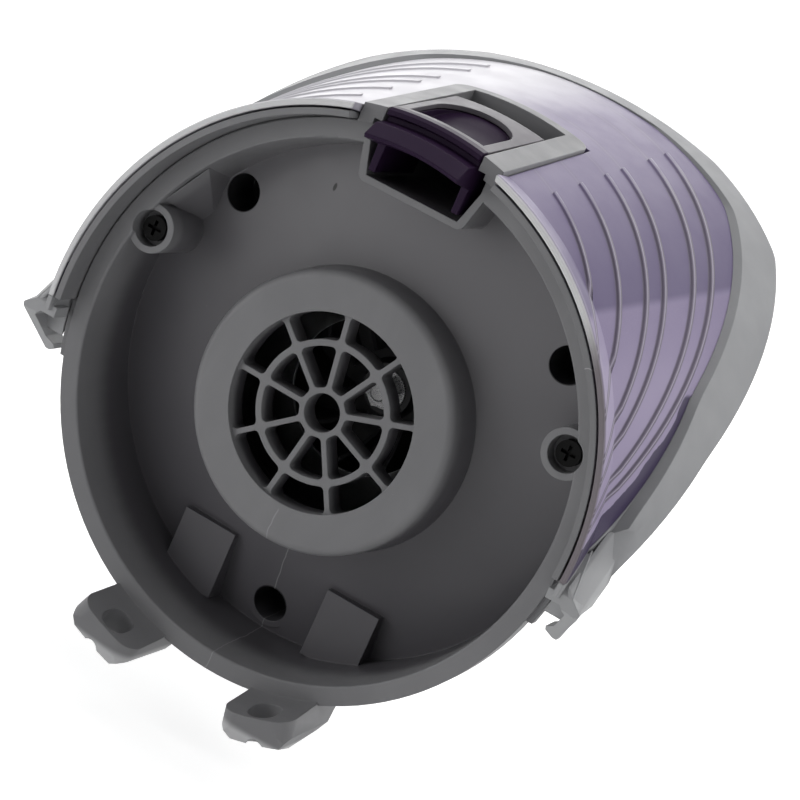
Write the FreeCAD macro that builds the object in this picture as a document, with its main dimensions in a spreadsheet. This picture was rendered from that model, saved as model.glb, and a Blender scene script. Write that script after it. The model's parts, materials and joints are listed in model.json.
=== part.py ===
import FreeCAD, Part
import Sketcher
import math
import os

# Motor unit of a cordless stick vacuum, in millimetres.
# X runs across the unit, Y runs from the open dish back into the unit, Z points up to the latch.
# The origin is the centre of the dish's rim. The motor and the dish's floor lean back by floor_tilt.

DIMENSIONS = {
    # rim and dish
    "ring_radius": 58.0,
    "rim_width": 4.2,
    "rim_depth": 5.0,
    "flange_proud": 1.3,
    "flange_setback": 0.8,
    "flange_depth": 2.5,
    "flange_drop": 16.9,
    "dish_wall": 2.2,
    "wall_draft": 5.0,
    "dish_depth": 27.0,
    "floor_tilt": 5.0,
    "floor_cone": 9.0,
    "floor_wall": 2.4,
    "floor_start": 13.6,
    "pad_inner": 12.5,
    "pad_outer": 26.0,
    "pad_up": 38.5,
    "pad_depth": 17.0,
    "pad_thick": 5.8,
    # collar and grille
    "collar_radius": 30.5,
    "collar_flare": 0.8,
    "collar_face": 1.5,
    "collar_wall": 2.4,
    "collar_round": 2.0,
    "collar_end": 21.0,
    "grille_radius": 21.6,
    "grille_setback": 1.2,
    "grille_depth": 5.5,
    "grille_bar": 1.2,
    "grille_hub": 4.2,
    "grille_mid": 15.7,
    "grille_spokes": 9,
    "grille_turn": 18.5,
    "grille_round": 1.1,
    # sleeves for the hood screws
    "sleeve_side": 52.5,
    "sleeve_up": 18.0,
    "sleeve_radius": 5.5,
    "sleeve_bore": 4.0,
    "sleeve_top": 1.0,
    "sleeve_seat": 4.8,
    "sleeve_end": 21.5,
    # wells for the motor screws
    "well_circle": 51.5,
    "well_spread": 53.8,
    "well_bore": 4.1,
    "well_wall": 1.5,
    "well_end": 31.0,
    "well_seat": 2.2,
    # latch trough and frame
    "trough_low": 48.7,
    "trough_half_low": 12.7,
    "trough_half_high": 15.0,
    "trough_high": 57.5,
    "trough_wall": 1.5,
    "trough_end": 42.2,
    "frame_half": 16.9,
    "frame_front": 2.3,
    "frame_end": 43.8,
    "frame_radius": 66.2,
    "frame_slope": 7.45,
    "frame_thick": 4.0,
    "frame_round": 3.0,
    "slot_half": 11.7,
    "slot_end": 40.4,
    "shelf_front": 29.5,
    "shelf_radius": 66.4,
    "shelf_thick": 1.2,
    # lugs
    "lug_angle": 18.05,
    "lug_span": 14.9,
    "lug_reach": 13.8,
    "lug_lean": 1.5,
    "lug_nose": 4.6,
    "lug_chin": 7.6,
    "lug_keel": 9.2,
    "lug_keel_depth": 4.0,
    "lug_heel": 6.6,
    "lug_heel_depth": 4.0,
    "lug_back": 11.0,
    "lug_round": 4.0,
    "lug_half": 8.3,
    "lug_shoulder": 4.4,
    "lug_keel_half": 4.2,
    "lug_hole_width": 6.4,
    "lug_hole_length": 8.6,
    "lug_hole_depth": 8.7,
    # latch
    "latch_half": 11.2,
    "latch_front": 2.8,
    "latch_low": 58.5,
    "latch_body": 22.0,
    "latch_tail": 29.7,
    "latch_top": 66.35,
    "latch_slope": 6.6,
    "ridge_back": 0.5,
    "lip_reach": 9.9,
    "lip_high": 63.1,
    "lip_low": 60.5,
    "wing_low": 51.6,
    "wing_wall": 1.5,
    "wing_front": -1.0,
    "wing_back": 20.0,
    "wing_half": 10.9,
    "tongue_half": 13.0,
    "tongue_top": 60.3,
    "tongue_front": 8.0,
    "plate_thick": 1.1,
    "recess_half": 9.0,
    "recess_front": 2.2,
    "recess_middle": 15.0,
    "recess_floor": 62.4,
    "recess_floor_back": 68.9,
    "spring_up": 61.8,
    "spring_coil": 2.1,
    "spring_wire": 0.3,
    "spring_turns": 7.0,
    "spring_pocket": 8.0,
    "spring_peg": 1.3,
    "spring_peg_length": 4.0,
    # hood
    "hood_front": 0.6,
    "hood_side_a": 7.5,
    "hood_side_b": 15.2,
    "hood_side_c": 23.5,
    "hood_side_d": 34.0,
    "band_side_a": 10.0,
    "band_side_b": 17.0,
    "band_side_c": 25.8,
    "band_side_d": 38.6,
    "hood_up": 7.4,
    "hood_rise": 7.7,
    "station_b": 30.0,
    "station_c": 61.0,
    "station_d": 94.0,
    "band_proud": 0.3,
    "cover_wall": 1.7,
    "cover_gap": 0.3,
    "hood_wall": 2.2,
    "hood_setback": 5.4,
    "hood_seam": 0.3,
    "rear_foot_up": -13.0,
    "rear_heel_depth": 9.5,
    "rear_heel_up": -0.8,
    "rear_knee_depth": 33.8,
    "rear_knee_up": 23.0,
    "rear_hip_depth": 84.0,
    "rear_hip_up": 61.8,
    "rear_end": 92.0,
    "rear_end_up": 74.0,
    "cover_foot_up": -7.0,
    "cover_heel_depth": 6.0,
    "cover_heel_up": 8.5,
    "cover_knee_depth": 31.0,
    "cover_knee_up": 34.5,
    "cover_hip_depth": 80.0,
    "cover_hip_up": 67.6,
    "cover_end": 86.0,
    "cover_end_up": 76.0,
    "knee_round": 40.0,
    "hip_round": 9.0,
    "ridge_root_depth": -78.0,
    "ridge_root_up": -48.0,
    "ridge_first": 51.1,
    "ridge_second": 47.6,
    "ridge_third": 44.5,
    "ridge_fourth": 42.6,
    "ridge_fifth": 39.8,
    "ridge_sixth": 38.2,
    "ridge_side": 24.0,
    "ridge_width": 0.9,
    "ridge_proud": 0.35,
    "clip_inner": 63.9,
    "clip_tip": 62.8,
    "clip_outer": 71.0,
    "clip_root": 68.2,
    "clip_heel": 66.6,
    "clip_shoulder": -9.2,
    "clip_low": -18.2,
    "clip_arm": 2.3,
    "clip_arm_top": -6.2,
    "clip_front": -5.5,
    "clip_low_front": 3.6,
    "clip_back": 8.5,
    "clip_rise": 3.0,
    "post_radius": 4.2,
    "post_end": 44.0,
    "post_rib": 2.0,
    "post_web": 7.5,
    "post_pilot_end": 33.0,
    # screws
    "screw_head": 2.8,
    "screw_head_depth": 2.3,
    "screw_shank": 1.5,
    "thread_gap": 0.05,
    "screw_length": 24.0,
    "screw_slot": 0.7,
    "screw_slot_depth": 1.3,
    "screw_hole": 1.8,
    # motor, along its own axis
    "land_inner": 32.6,
    "land_outer": 44.2,
    "land_depth": 20.0,
    "seal_inner": 33.4,
    "seal_outer": 37.8,
    "sheet": 0.8,
    "fan_cover_radius": 38.0,
    "fan_cover_shoulder": 28.0,
    "fan_cover_bend": 33.0,
    "fan_cover_end": 45.0,
    "eye_radius": 17.5,
    "eye_depth": 23.0,
    "shaft_radius": 2.1,
    "shaft_tip": 30.0,
    "shaft_tail": 81.8,
    "nut_front": 31.2,
    "nut_depth": 2.8,
    "nut_across": 7.0,
    "washer_radius": 4.6,
    "washer_depth": 0.6,
    "hub_radius": 6.0,
    "impeller_back": 39.2,
    "impeller_radius": 34.0,
    "impeller_plate": 1.0,
    "impeller_gap": 0.8,
    "impeller_blades": 9,
    "blade_thick": 1.1,
    "blade_root": 9.0,
    "blade_sweep": 52.0,
    "diffuser_front": 40.6,
    "diffuser_plate": 2.0,
    "diffuser_vane": 3.2,
    "diffuser_vanes": 11,
    "diffuser_fit": 0.2,
    "can_wall": 1.4,
    "can_depth": 23.0,
    "boss_wall": 2.0,
    "boss_lip": 0.8,
    "bearing_radius": 6.5,
    "bearing_depth": 5.0,
    "bearing_fit": 0.03,
    "vent_radius": 2.8,
    "vent_circle": 17.0,
    "vent_count": 6,
    "core_radius": 17.0,
    "core_front": 51.6,
    "core_length": 14.5,
    "core_slots": 12,
    "slot_mouth": 0.8,
    "slot_room": 1.7,
    "slot_root": 9.0,
    "slot_rim": 15.4,
    "winding_head": 2.9,
    "winding_inner": 5.5,
    "winding_outer": 14.8,
    "air_gap": 0.7,
    "magnet_thick": 5.4,
    "magnet_margin": 2.6,
    "magnet_span": 140.0,
    "commutator_front": 69.6,
    "commutator_length": 6.4,
    "commutator_radius": 8.0,
    "bracket_depth": 10.4,
    "bracket_wall": 2.4,
    "boss_length": 3.8,
    "brush_width": 5.0,
    "brush_height": 4.0,
    "brush_length": 9.0,
    "brush_gap": 0.2,
    "holder_wall": 0.8,
    "holder_start": 11.0,
    "holder_end": 20.5,
    "cage_radius": 43.6,
    "cage_wall": 2.0,
    "cage_end": 84.0,
    "cage_taper": 62.0,
    "cage_end_radius": 35.0,
    "cage_hole": 10.5,
    "cage_vents": 12,
    "cage_vent_width": 5.8,
    "cage_vent_inner": 17.0,
    "cage_vent_outer": 30.0,
    "side_vent_front": 50.0,
    "side_vent_length": 9.0,
    "ear_radius": 5.4,
    "ear_length": 14.0,
    "ear_web": 3.4,
    "motor_screw_length": 14.0,
    "mount_radius": 14.0,
    "terminal_side": 20.0,
    "terminal_width": 4.8,
    "terminal_thick": 0.8,
    "terminal_length": 11.0,
    # clearances
    "slide_gap": 0.35,
    "seat_gap": 0.25,
}

doc = FreeCAD.newDocument("vacuum_motor")
sheet = doc.addObject("Spreadsheet::Sheet", "sizes")
for row, (alias, amount) in enumerate(DIMENSIONS.items(), start=1):
    sheet.set(f"A{row}", alias.replace("_", " "))
    sheet.set(f"B{row}", str(amount))
    sheet.setAlias(f"B{row}", alias)
doc.recompute()


class Size:
    """A number with the sheet expression that gives it, so a feature can be bound to the sheet."""

    def __init__(self, number, text):
        self.number = number
        self.text = text

    def __float__(self):
        return float(self.number)

    def __add__(self, other):
        other = as_size(other)
        return Size(self.number + other.number, f"({self.text} + {other.text})")

    def __radd__(self, other):
        return as_size(other) + self

    def __sub__(self, other):
        other = as_size(other)
        return Size(self.number - other.number, f"({self.text} - {other.text})")

    def __rsub__(self, other):
        return as_size(other) - self

    def __mul__(self, other):
        other = as_size(other)
        return Size(self.number * other.number, f"({self.text} * {other.text})")

    def __rmul__(self, other):
        return as_size(other) * self

    def __truediv__(self, other):
        other = as_size(other)
        return Size(self.number / other.number, f"({self.text} / {other.text})")

    def __neg__(self):
        return Size(-self.number, f"(-{self.text})")


def as_size(value):
    return value if isinstance(value, Size) else Size(float(value), f"({float(value)})")


def tangent(angle):
    return Size(math.tan(math.radians(angle.number)), f"tan({angle.text})")


def cosine(angle):
    return Size(math.cos(math.radians(angle.number)), f"cos({angle.text})")


def sine(angle):
    return Size(math.sin(math.radians(angle.number)), f"sin({angle.text})")


class Sizes:
    """Reads the sheet's names as Size values: dim.ring_radius and so on."""

    def __getattr__(self, alias):
        return Size(float(sheet.get(alias)), f"sizes.{alias}")


dim = Sizes()
VECTOR = FreeCAD.Vector
AXES = {"X": VECTOR(1, 0, 0), "Y": VECTOR(0, 1, 0), "Z": VECTOR(0, 0, 1)}
pieces = {}


def bind(thing, prop, size):
    """Binds a property to the sheet, or sets it when the size is a bare number."""
    size = as_size(size)
    if "sizes." in size.text:
        thing.setExpression(prop, size.text)
    else:
        setattr(thing, prop, size.number)


def new_body(name):
    return doc.addObject("PartDesign::Body", name)


def origin_plane(body, role):
    return next(item for item in body.Origin.OriginFeatures if item.Role == role)


def new_sketch(body, name, plane, offset=None):
    """A sketch on one of the body's origin planes, moved along the plane's normal by offset."""
    sketch = body.newObject("Sketcher::SketchObject", name)
    sketch.AttachmentSupport = [(origin_plane(body, plane), "")]
    sketch.MapMode = "FlatFace"
    if offset is not None:
        sketch.setExpression("AttachmentOffset.Base.z", as_size(offset).text)
    return sketch


def add_outline(sketch, points):
    """A closed outline of straight lines whose corners are each placed by two bound distances."""
    first = sketch.GeometryCount
    count = len(points)
    spots = [VECTOR(float(as_size(u)), float(as_size(v)), 0) for u, v in points]
    sketch.addGeometry([Part.LineSegment(spots[i], spots[(i + 1) % count]) for i in range(count)])
    for i, point in enumerate(points):
        line = first + i
        sketch.addConstraint(Sketcher.Constraint("Coincident", line, 2, first + (i + 1) % count, 1))
        for kind, size in zip(("DistanceX", "DistanceY"), point):
            size = as_size(size)
            index = sketch.addConstraint(Sketcher.Constraint(kind, -1, 1, line, 1, size.number))
            if "sizes." in size.text:
                sketch.setExpression(f"Constraints[{index}]", size.text)


def add_circle(sketch, centre, radius):
    """A circle placed by two bound distances, with a bound radius."""
    u, v = (as_size(value) for value in centre)
    radius = as_size(radius)
    circle = sketch.addGeometry(Part.Circle(VECTOR(u.number, v.number, 0), VECTOR(0, 0, 1), radius.number))
    for kind, size in (("DistanceX", u), ("DistanceY", v)):
        index = sketch.addConstraint(Sketcher.Constraint(kind, -1, 1, circle, 3, size.number))
        if "sizes." in size.text:
            sketch.setExpression(f"Constraints[{index}]", size.text)
    index = sketch.addConstraint(Sketcher.Constraint("Radius", circle, radius.number))
    if "sizes." in radius.text:
        sketch.setExpression(f"Constraints[{index}]", radius.text)


def turn(body, name, points, angle=None):
    """A revolution about the Y axis of an outline given as (depth, radius) corners."""
    sketch = new_sketch(body, name + "_outline", "YZ_Plane")
    add_outline(sketch, points)
    feature = body.newObject("PartDesign::Revolution", name)
    feature.Profile = sketch
    feature.ReferenceAxis = (sketch, ["H_Axis"])
    if angle is not None:
        feature.Midplane = True
        bind(feature, "Angle", angle)
    doc.recompute()
    return feature


def turn_away(body, name, points):
    """A groove about the Y axis that removes an outline given as (depth, radius) corners."""
    sketch = new_sketch(body, name + "_outline", "YZ_Plane")
    add_outline(sketch, points)
    feature = body.newObject("PartDesign::Groove", name)
    feature.Profile = sketch
    feature.ReferenceAxis = (sketch, ["H_Axis"])
    doc.recompute()
    return feature


def extrude(body, name, start, length, outlines=(), circles=(), kind="PartDesign::Pad"):
    """Pads or pockets outlines and circles in X and Z, from depth start towards the back by length."""
    sketch = new_sketch(body, name + "_outline", "XZ_Plane", -as_size(start))
    for points in outlines:
        add_outline(sketch, points)
    for centre, radius in circles:
        add_circle(sketch, centre, radius)
    feature = body.newObject(kind, name)
    feature.Profile = sketch
    bind(feature, "Length", length)
    feature.Reversed = kind == "PartDesign::Pad"
    doc.recompute()
    return feature


def extrude_across(body, name, half_width, points):
    """Pads a side-view outline, given as (depth, height) corners, evenly to both sides of the middle."""
    sketch = new_sketch(body, name + "_outline", "YZ_Plane")
    add_outline(sketch, points)
    feature = body.newObject("PartDesign::Pad", name)
    feature.Profile = sketch
    feature.Midplane = True
    bind(feature, "Length", 2 * as_size(half_width))
    doc.recompute()
    return feature


def pattern(body, feature, name, count):
    """Repeats a feature evenly round the Y axis."""
    polar = body.newObject("PartDesign::PolarPattern", name)
    polar.Originals = [feature]
    polar.Axis = (origin_plane(body, "Y_Axis"), [""])
    polar.Angle = 360
    bind(polar, "Occurrences", count)
    body.Tip = polar
    doc.recompute()
    return polar


def edges_where(shape, test):
    return [f"Edge{i}" for i, edge in enumerate(shape.Edges, start=1) if test(edge)]


def dress(body, kind, name, size, test):
    """Rounds or chamfers those edges of the body's last feature that pass the test."""
    base = body.Tip
    names = edges_where(base.Shape, test)
    if not names:
        raise RuntimeError(f"{name}: no edge to dress")
    feature = body.newObject(f"PartDesign::{kind}", name)
    feature.Base = (base, names)
    bind(feature, "Radius" if kind == "Fillet" else "Size", size)
    doc.recompute()
    return feature


def is_ring(edge, radius, depth, slack=0.02):
    """True for a circular edge about the Y axis with this radius at this depth."""
    curve = edge.Curve
    return (
        isinstance(curve, Part.Circle)
        and abs(curve.Radius - float(radius)) < slack
        and abs(curve.Center.y - float(depth)) < slack
        and math.hypot(curve.Center.x, curve.Center.z) < slack
    )


def runs_along(edge, axis):
    """True for a straight edge parallel to the axis."""
    if not isinstance(edge.Curve, Part.Line):
        return False
    return abs(edge.Curve.Direction.dot(AXES[axis])) > 0.999


def lean(thing):
    """Tilts a thing with the motor's axis, about the X axis through the origin."""
    thing.Placement = FreeCAD.Placement(VECTOR(), FreeCAD.Rotation(AXES["X"], float(dim.floor_tilt)))
    thing.setExpression("Placement.Rotation.Angle", "sizes.floor_tilt")
    return thing


def rod(name, radius, start, length, side=0.0, up=0.0):
    """A cylinder along Y from depth start, at this place across and up."""
    cylinder = doc.addObject("Part::Cylinder", name)
    cylinder.Placement = FreeCAD.Placement(VECTOR(), FreeCAD.Rotation(AXES["X"], -90))
    bind(cylinder, "Radius", radius)
    bind(cylinder, "Height", length)
    for prop, size in (("x", side), ("y", start), ("z", up)):
        cylinder.setExpression(f"Placement.Base.{prop}", as_size(size).text)
    return cylinder


def block(name, side, depth, up):
    """A box between two places across, in depth and up."""
    box = doc.addObject("Part::Box", name)
    for prop, low, (a, b) in (("Length", "x", side), ("Width", "y", depth), ("Height", "z", up)):
        bind(box, prop, as_size(b) - a)
        box.setExpression(f"Placement.Base.{low}", as_size(a).text)
    return box


def join(name, things):
    fused = doc.addObject("Part::MultiFuse", name)
    fused.Shapes = things
    doc.recompute()
    return fused


def remove(name, base, tools):
    tool = tools[0] if len(tools) == 1 else join(name + "_tools", tools)
    cut = doc.addObject("Part::Cut", name)
    cut.Base = base
    cut.Tool = tool
    doc.recompute()
    return cut


def overlap(name, a, b):
    both = doc.addObject("Part::Common", name)
    both.Base = a
    both.Tool = b
    doc.recompute()
    return both


def piece(node, thing):
    """Takes a finished thing as a piece of the object, under its node name."""
    thing.Label = node
    pieces[node] = thing
    return thing


def motor_axis_body(name, points, angle=None):
    """A turned body about the leaning motor axis."""
    body = new_body(name)
    turn(body, name + "_turning", points, angle)
    return lean(body)


def build_rim():
    """Rim, dish wall and the flange above the clips, turned about the dish's axis."""
    rim_radius = dim.ring_radius + dim.rim_width
    draft = tangent(dim.wall_draft)
    inner_end = dim.ring_radius - draft * dim.dish_depth
    wall_front = dim.ring_radius - draft * dim.rim_depth + dim.dish_wall
    body = new_body("rim")
    turn(body, "rim_turning", [
        (0, dim.ring_radius),
        (0, rim_radius),
        (dim.rim_depth, rim_radius),
        (dim.rim_depth, wall_front),
        (dim.dish_depth, inner_end + dim.dish_wall),
        (dim.dish_depth, inner_end),
    ])
    dress(body, "Fillet", "rim_round", 0.5, lambda edge: is_ring(edge, dim.ring_radius, 0))

    flange = new_body("flange")
    turn(flange, "flange_turning", [
        (dim.flange_setback, rim_radius - dim.dish_wall),
        (dim.flange_setback, rim_radius + dim.flange_proud),
        (dim.flange_setback + dim.flange_depth, rim_radius + dim.flange_proud),
        (dim.flange_setback + dim.flange_depth, rim_radius - dim.dish_wall),
    ])
    below = block("below_flange", (-100, 100), (-20, 60), (-100, -dim.flange_drop))
    return [body, remove("upper_flange", flange, [below])]


def floor_depth(radius):
    """Depth of the floor's front face along the leaning axis."""
    return dim.floor_start + (radius - dim.collar_radius - dim.collar_flare) * tangent(dim.floor_cone)


def build_floor():
    """Leaning conical floor, trimmed to the dish, with the flat land that carries the motor behind it."""
    inner = dim.collar_radius - dim.collar_wall
    outer = dim.ring_radius + dim.rim_width
    body = new_body("floor")
    turn(body, "floor_turning", [
        (floor_depth(inner), inner),
        (floor_depth(outer), outer),
        (floor_depth(outer) + dim.floor_wall, outer),
        (floor_depth(dim.land_outer) + dim.floor_wall, dim.land_outer),
        (dim.land_depth, dim.land_outer),
        (dim.land_depth, dim.land_inner),
        (floor_depth(dim.land_inner) + dim.floor_wall, dim.land_inner),
        (floor_depth(inner) + dim.floor_wall, inner),
    ])
    lean(body)
    draft = tangent(dim.wall_draft)
    core = new_body("dish_core")
    middle = dim.ring_radius + dim.dish_wall / 2
    deep = 2 * dim.dish_depth
    turn(core, "core_turning", [
        (0, 0),
        (0, middle),
        (deep, middle - draft * deep),
        (deep, 0),
    ])
    return [overlap("trimmed_floor", body, core)]


def build_pads():
    """Two flat pads in the dish's floor above the lugs."""
    pads = []
    for name, sign in (("left", -1), ("right", 1)):
        low, high = sorted((sign * dim.pad_inner, sign * dim.pad_outer), key=float)
        pads.append(block(f"pad_{name}", (low, high), (dim.pad_depth, dim.pad_depth + dim.pad_thick),
                          (-dim.ring_radius + 3.4, -dim.pad_up)))
    return pads


def build_collar():
    """Hollow collar round the air inlet, with the spoked grille in its face."""
    foot = dim.collar_radius + dim.collar_flare
    slope = dim.collar_flare / (dim.floor_start - dim.collar_face)
    back = foot + slope * (dim.collar_end - dim.floor_start)
    grille_front = dim.collar_face + dim.grille_setback
    grille_back = grille_front + dim.grille_depth
    throat = dim.grille_radius + dim.collar_wall
    shell = dim.collar_face + dim.collar_wall
    body = new_body("collar")
    turn(body, "collar_turning", [
        (dim.collar_face, dim.grille_radius),
        (dim.collar_face, dim.collar_radius),
        (dim.collar_end, back),
        (dim.collar_end, back - dim.collar_wall),
        (shell, dim.collar_radius - dim.collar_wall),
        (shell, throat),
        (grille_back, throat - 0.8),
        (grille_back, dim.grille_radius),
    ])
    dress(body, "Fillet", "collar_edge", dim.collar_round,
          lambda edge: is_ring(edge, dim.collar_radius, dim.collar_face))

    disc = new_body("grille")
    turn(disc, "grille_turning", [
        (grille_front, dim.grille_hub),
        (grille_front, dim.grille_radius + 0.8),
        (grille_back, dim.grille_radius + 0.8),
        (grille_back, dim.grille_hub),
    ])
    openings = [
        cut_cell("outer_cell", dim.grille_mid, dim.grille_radius),
        cut_cell("inner_cell", dim.grille_hub + dim.grille_bar, dim.grille_mid - 1.2 * dim.grille_bar),
    ]
    return body, remove("open_grille", disc, openings)


def cut_cell(name, inner, outer):
    """All the grille openings of one row: ring sectors between two bars, with rounded corners."""
    front = dim.collar_face + dim.grille_setback
    step = 360.0 / float(dim.grille_spokes)
    half = step / 2
    reach = outer + 6
    body = new_body(name)
    sketch = new_sketch(body, name + "_outline", "XZ_Plane", -(front - 1))
    bar = dim.grille_bar / 2 / math.sin(math.radians(half))
    turned = float(dim.grille_turn) + half
    along = VECTOR(math.cos(math.radians(turned)), math.sin(math.radians(turned)), 0)
    sides = [VECTOR(math.cos(math.radians(turned + s * half)), math.sin(math.radians(turned + s * half)), 0)
             for s in (-1, 1)]
    tip = along * float(bar)
    corners = [tip, tip + sides[0] * float(reach), tip + sides[1] * float(reach)]
    sketch.addGeometry([Part.LineSegment(corners[i], corners[(i + 1) % 3]) for i in range(3)])
    wedge = body.newObject("PartDesign::Pad", name + "_wedge")
    wedge.Profile = sketch
    wedge.Reversed = True
    bind(wedge, "Length", dim.grille_depth + 2)
    doc.recompute()
    ring = new_body(name + "_ring")
    turn(ring, name + "_ring_turning", [
        (front - 1, inner),
        (front - 1, outer),
        (front + dim.grille_depth + 1, outer),
        (front + dim.grille_depth + 1, inner),
    ])
    cell = overlap(name + "_sharp", body, ring)
    rounded = doc.addObject("Part::Fillet", name + "_rounded")
    rounded.Base = cell
    radius = float(dim.grille_round)
    rounded.Edges = [(i, radius, radius) for i, edge in enumerate(cell.Shape.Edges, start=1)
                     if runs_along(edge, "Y")]
    doc.recompute()
    cells = []
    for i in range(int(float(dim.grille_spokes))):
        copy = rounded.Shape.copy()
        copy.rotate(VECTOR(), AXES["Y"], -i * step)
        cells.append(copy)
    row = doc.addObject("Part::Feature", name + "_row")
    row.Shape = Part.makeCompound(cells)
    return row


def both_sides(name, make):
    """Makes the same thing on the left and on the right."""
    return [make(f"{name}_left", -1), make(f"{name}_right", 1)]


def wells(name, make):
    """Makes the same thing at the three motor screws, on the leaning axis."""
    circle = dim.well_circle
    spread = dim.well_spread
    spots = {
        "left": (-(circle * sine(spread)), circle * cosine(spread)),
        "right": (circle * sine(spread), circle * cosine(spread)),
        "low": (as_size(0), -circle),
    }
    return [make(f"{name}_{where}", side, up) for where, (side, up) in spots.items()]


def leaning_rod(name, radius, start, length, side, up):
    """A cylinder along the motor axis, placed across and up in the leaning frame."""
    body = new_body(name)
    extrude(body, name + "_pad", start, length, circles=[((side, up), radius)])
    return lean(body)


def build_lug(name, sign):
    """A hooked lug below the rim: a wedge that reaches forward, with a slot through it."""
    rim_radius = dim.ring_radius + dim.rim_width
    root = rim_radius - 0.2
    tip = root + dim.lug_lean
    keel = root + dim.lug_keel
    body = new_body(name)
    turn(body, name + "_wedge", [
        (dim.rim_depth - 1, root - 1.6),
        (-1.5, root),
        (-dim.lug_reach, tip),
        (-dim.lug_reach, root + dim.lug_nose),
        (-dim.lug_reach + 1.4, root + dim.lug_chin),
        (-dim.lug_keel_depth, keel),
        (dim.lug_heel_depth, root + dim.lug_heel),
        (dim.lug_back, root + 0.8),
        (dim.lug_back, root - 2.6),
    ], dim.lug_span)
    front = -dim.lug_reach
    dress(body, "Fillet", name + "_corners", dim.lug_round,
          lambda edge: isinstance(edge.Curve, Part.Line) and edge.BoundBox.YMax < float(front) + 1.5
          and abs(edge.BoundBox.ZMax - edge.BoundBox.ZMin) > 3)
    shoulder = root + dim.lug_shoulder
    girth = new_body(name + "_girth")
    extrude(girth, name + "_taper", -dim.lug_reach - 1, dim.lug_reach + dim.lug_back + 2, outlines=[[
        (-dim.lug_half, 50),
        (-dim.lug_half, shoulder),
        (-dim.lug_keel_half, keel),
        (dim.lug_keel_half, keel),
        (dim.lug_half, shoulder),
        (dim.lug_half, 50),
    ]])
    shaped = overlap(name + "_shaped", body, girth)
    slot = new_body(name + "_slot")
    sketch = new_sketch(slot, name + "_slot_outline", "XY_Plane", 55)
    half = (dim.lug_hole_length - dim.lug_hole_width) / 2
    radius = dim.lug_hole_width / 2
    centre = -dim.lug_hole_depth
    near = float(centre + half)
    far = float(centre - half)
    size = float(radius)
    sketch.addGeometry([
        Part.ArcOfCircle(Part.Circle(VECTOR(0, near, 0), VECTOR(0, 0, 1), size), 0, math.pi),
        Part.LineSegment(VECTOR(-size, near, 0), VECTOR(-size, far, 0)),
        Part.ArcOfCircle(Part.Circle(VECTOR(0, far, 0), VECTOR(0, 0, 1), size), math.pi, 2 * math.pi),
        Part.LineSegment(VECTOR(size, far, 0), VECTOR(size, near, 0)),
    ])
    through = slot.newObject("PartDesign::Pad", name + "_slot_pad")
    through.Profile = sketch
    through.Length = 30
    doc.recompute()
    lug = remove(name, shaped, [slot])
    angle = 180 + sign * dim.lug_angle
    lug.Placement = FreeCAD.Placement(VECTOR(), FreeCAD.Rotation(AXES["Y"], float(angle)))
    lug.setExpression("Placement.Rotation.Angle", angle.text)
    return lug


def trough_outline(inset, rise):
    """Section of the latch trough in X and Z, drawn in from its outer face by inset."""
    low = dim.trough_low + inset
    return [
        (-(dim.trough_half_low - inset), low),
        (-(dim.trough_half_high - inset), dim.trough_high),
        (-(dim.trough_half_high - inset), rise),
        (dim.trough_half_high - inset, rise),
        (dim.trough_half_high - inset, dim.trough_high),
        (dim.trough_half_low - inset, low),
    ]


def frame_radius_at(depth):
    return dim.frame_radius + (dim.frame_front + depth) * tangent(dim.frame_slope)


def build_trough():
    """Trough that holds the latch, and the frame round its slot in the hood's surface."""
    rim_radius = dim.ring_radius + dim.rim_width
    body = new_body("trough")
    extrude(body, "trough_pad", 0, dim.trough_end, outlines=[trough_outline(as_size(0), rim_radius)])
    dress(body, "Fillet", "trough_corners", 2.0,
          lambda edge: runs_along(edge, "Y") and edge.BoundBox.ZMax < float(dim.trough_low) + 0.1)

    frame = new_body("latch_frame")
    lower = dim.frame_radius - dim.frame_thick
    turn(frame, "frame_turning", [
        (-dim.frame_front, lower),
        (-dim.frame_front, frame_radius_at(-dim.frame_front)),
        (dim.frame_end, frame_radius_at(dim.frame_end)),
        (dim.frame_end, frame_radius_at(dim.frame_end) - dim.frame_thick),
        (4, lower),
    ], as_size(40))
    plan = new_body("frame_plan")
    extrude_up(plan, "frame_plan_pad", 40, 50, [
        (-dim.frame_half, -10),
        (-dim.frame_half, dim.frame_end),
        (dim.frame_half, dim.frame_end),
        (dim.frame_half, -10),
    ])
    dress(plan, "Fillet", "frame_corners", dim.frame_round,
          lambda edge: runs_along(edge, "Z") and edge.BoundBox.YMax > 0)
    walls = new_body("frame_walls")
    extrude(walls, "frame_walls_pad", dim.rim_depth - 3, dim.trough_end - dim.rim_depth + 3, outlines=[
        [(-dim.trough_half_high, dim.trough_high), (-dim.trough_half_high, lower + 6),
         (dim.trough_half_high, lower + 6), (dim.trough_half_high, dim.trough_high)],
    ])
    skin = new_body("frame_skin")
    turn(skin, "frame_skin_turning", [
        (-20, 0),
        (-20, frame_radius_at(-20) - dim.frame_thick / 2),
        (80, frame_radius_at(80) - dim.frame_thick / 2),
        (80, 0),
    ])
    return [body, overlap("frame_top", frame, plan), overlap("trough_sides", walls, skin)]


def extrude_up(body, name, start, length, points):
    """Pads a plan outline, given as (side, depth) corners, upwards from height start."""
    sketch = new_sketch(body, name + "_outline", "XY_Plane", start)
    add_outline(sketch, points)
    feature = body.newObject("PartDesign::Pad", name)
    feature.Profile = sketch
    bind(feature, "Length", length)
    doc.recompute()
    return feature


def trough_cavity():
    """The room inside the trough: where the latch slides, below and in the slot."""
    rise = dim.frame_radius - dim.frame_thick - 0.2
    room = new_body("trough_room")
    extrude(room, "trough_room_pad", -5, dim.slot_end + 5,
            outlines=[trough_outline(dim.trough_wall, rise)])
    slot = block("latch_slot", (-dim.slot_half, dim.slot_half), (-10, dim.slot_end), (55, 90))
    return [room, slot]


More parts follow.
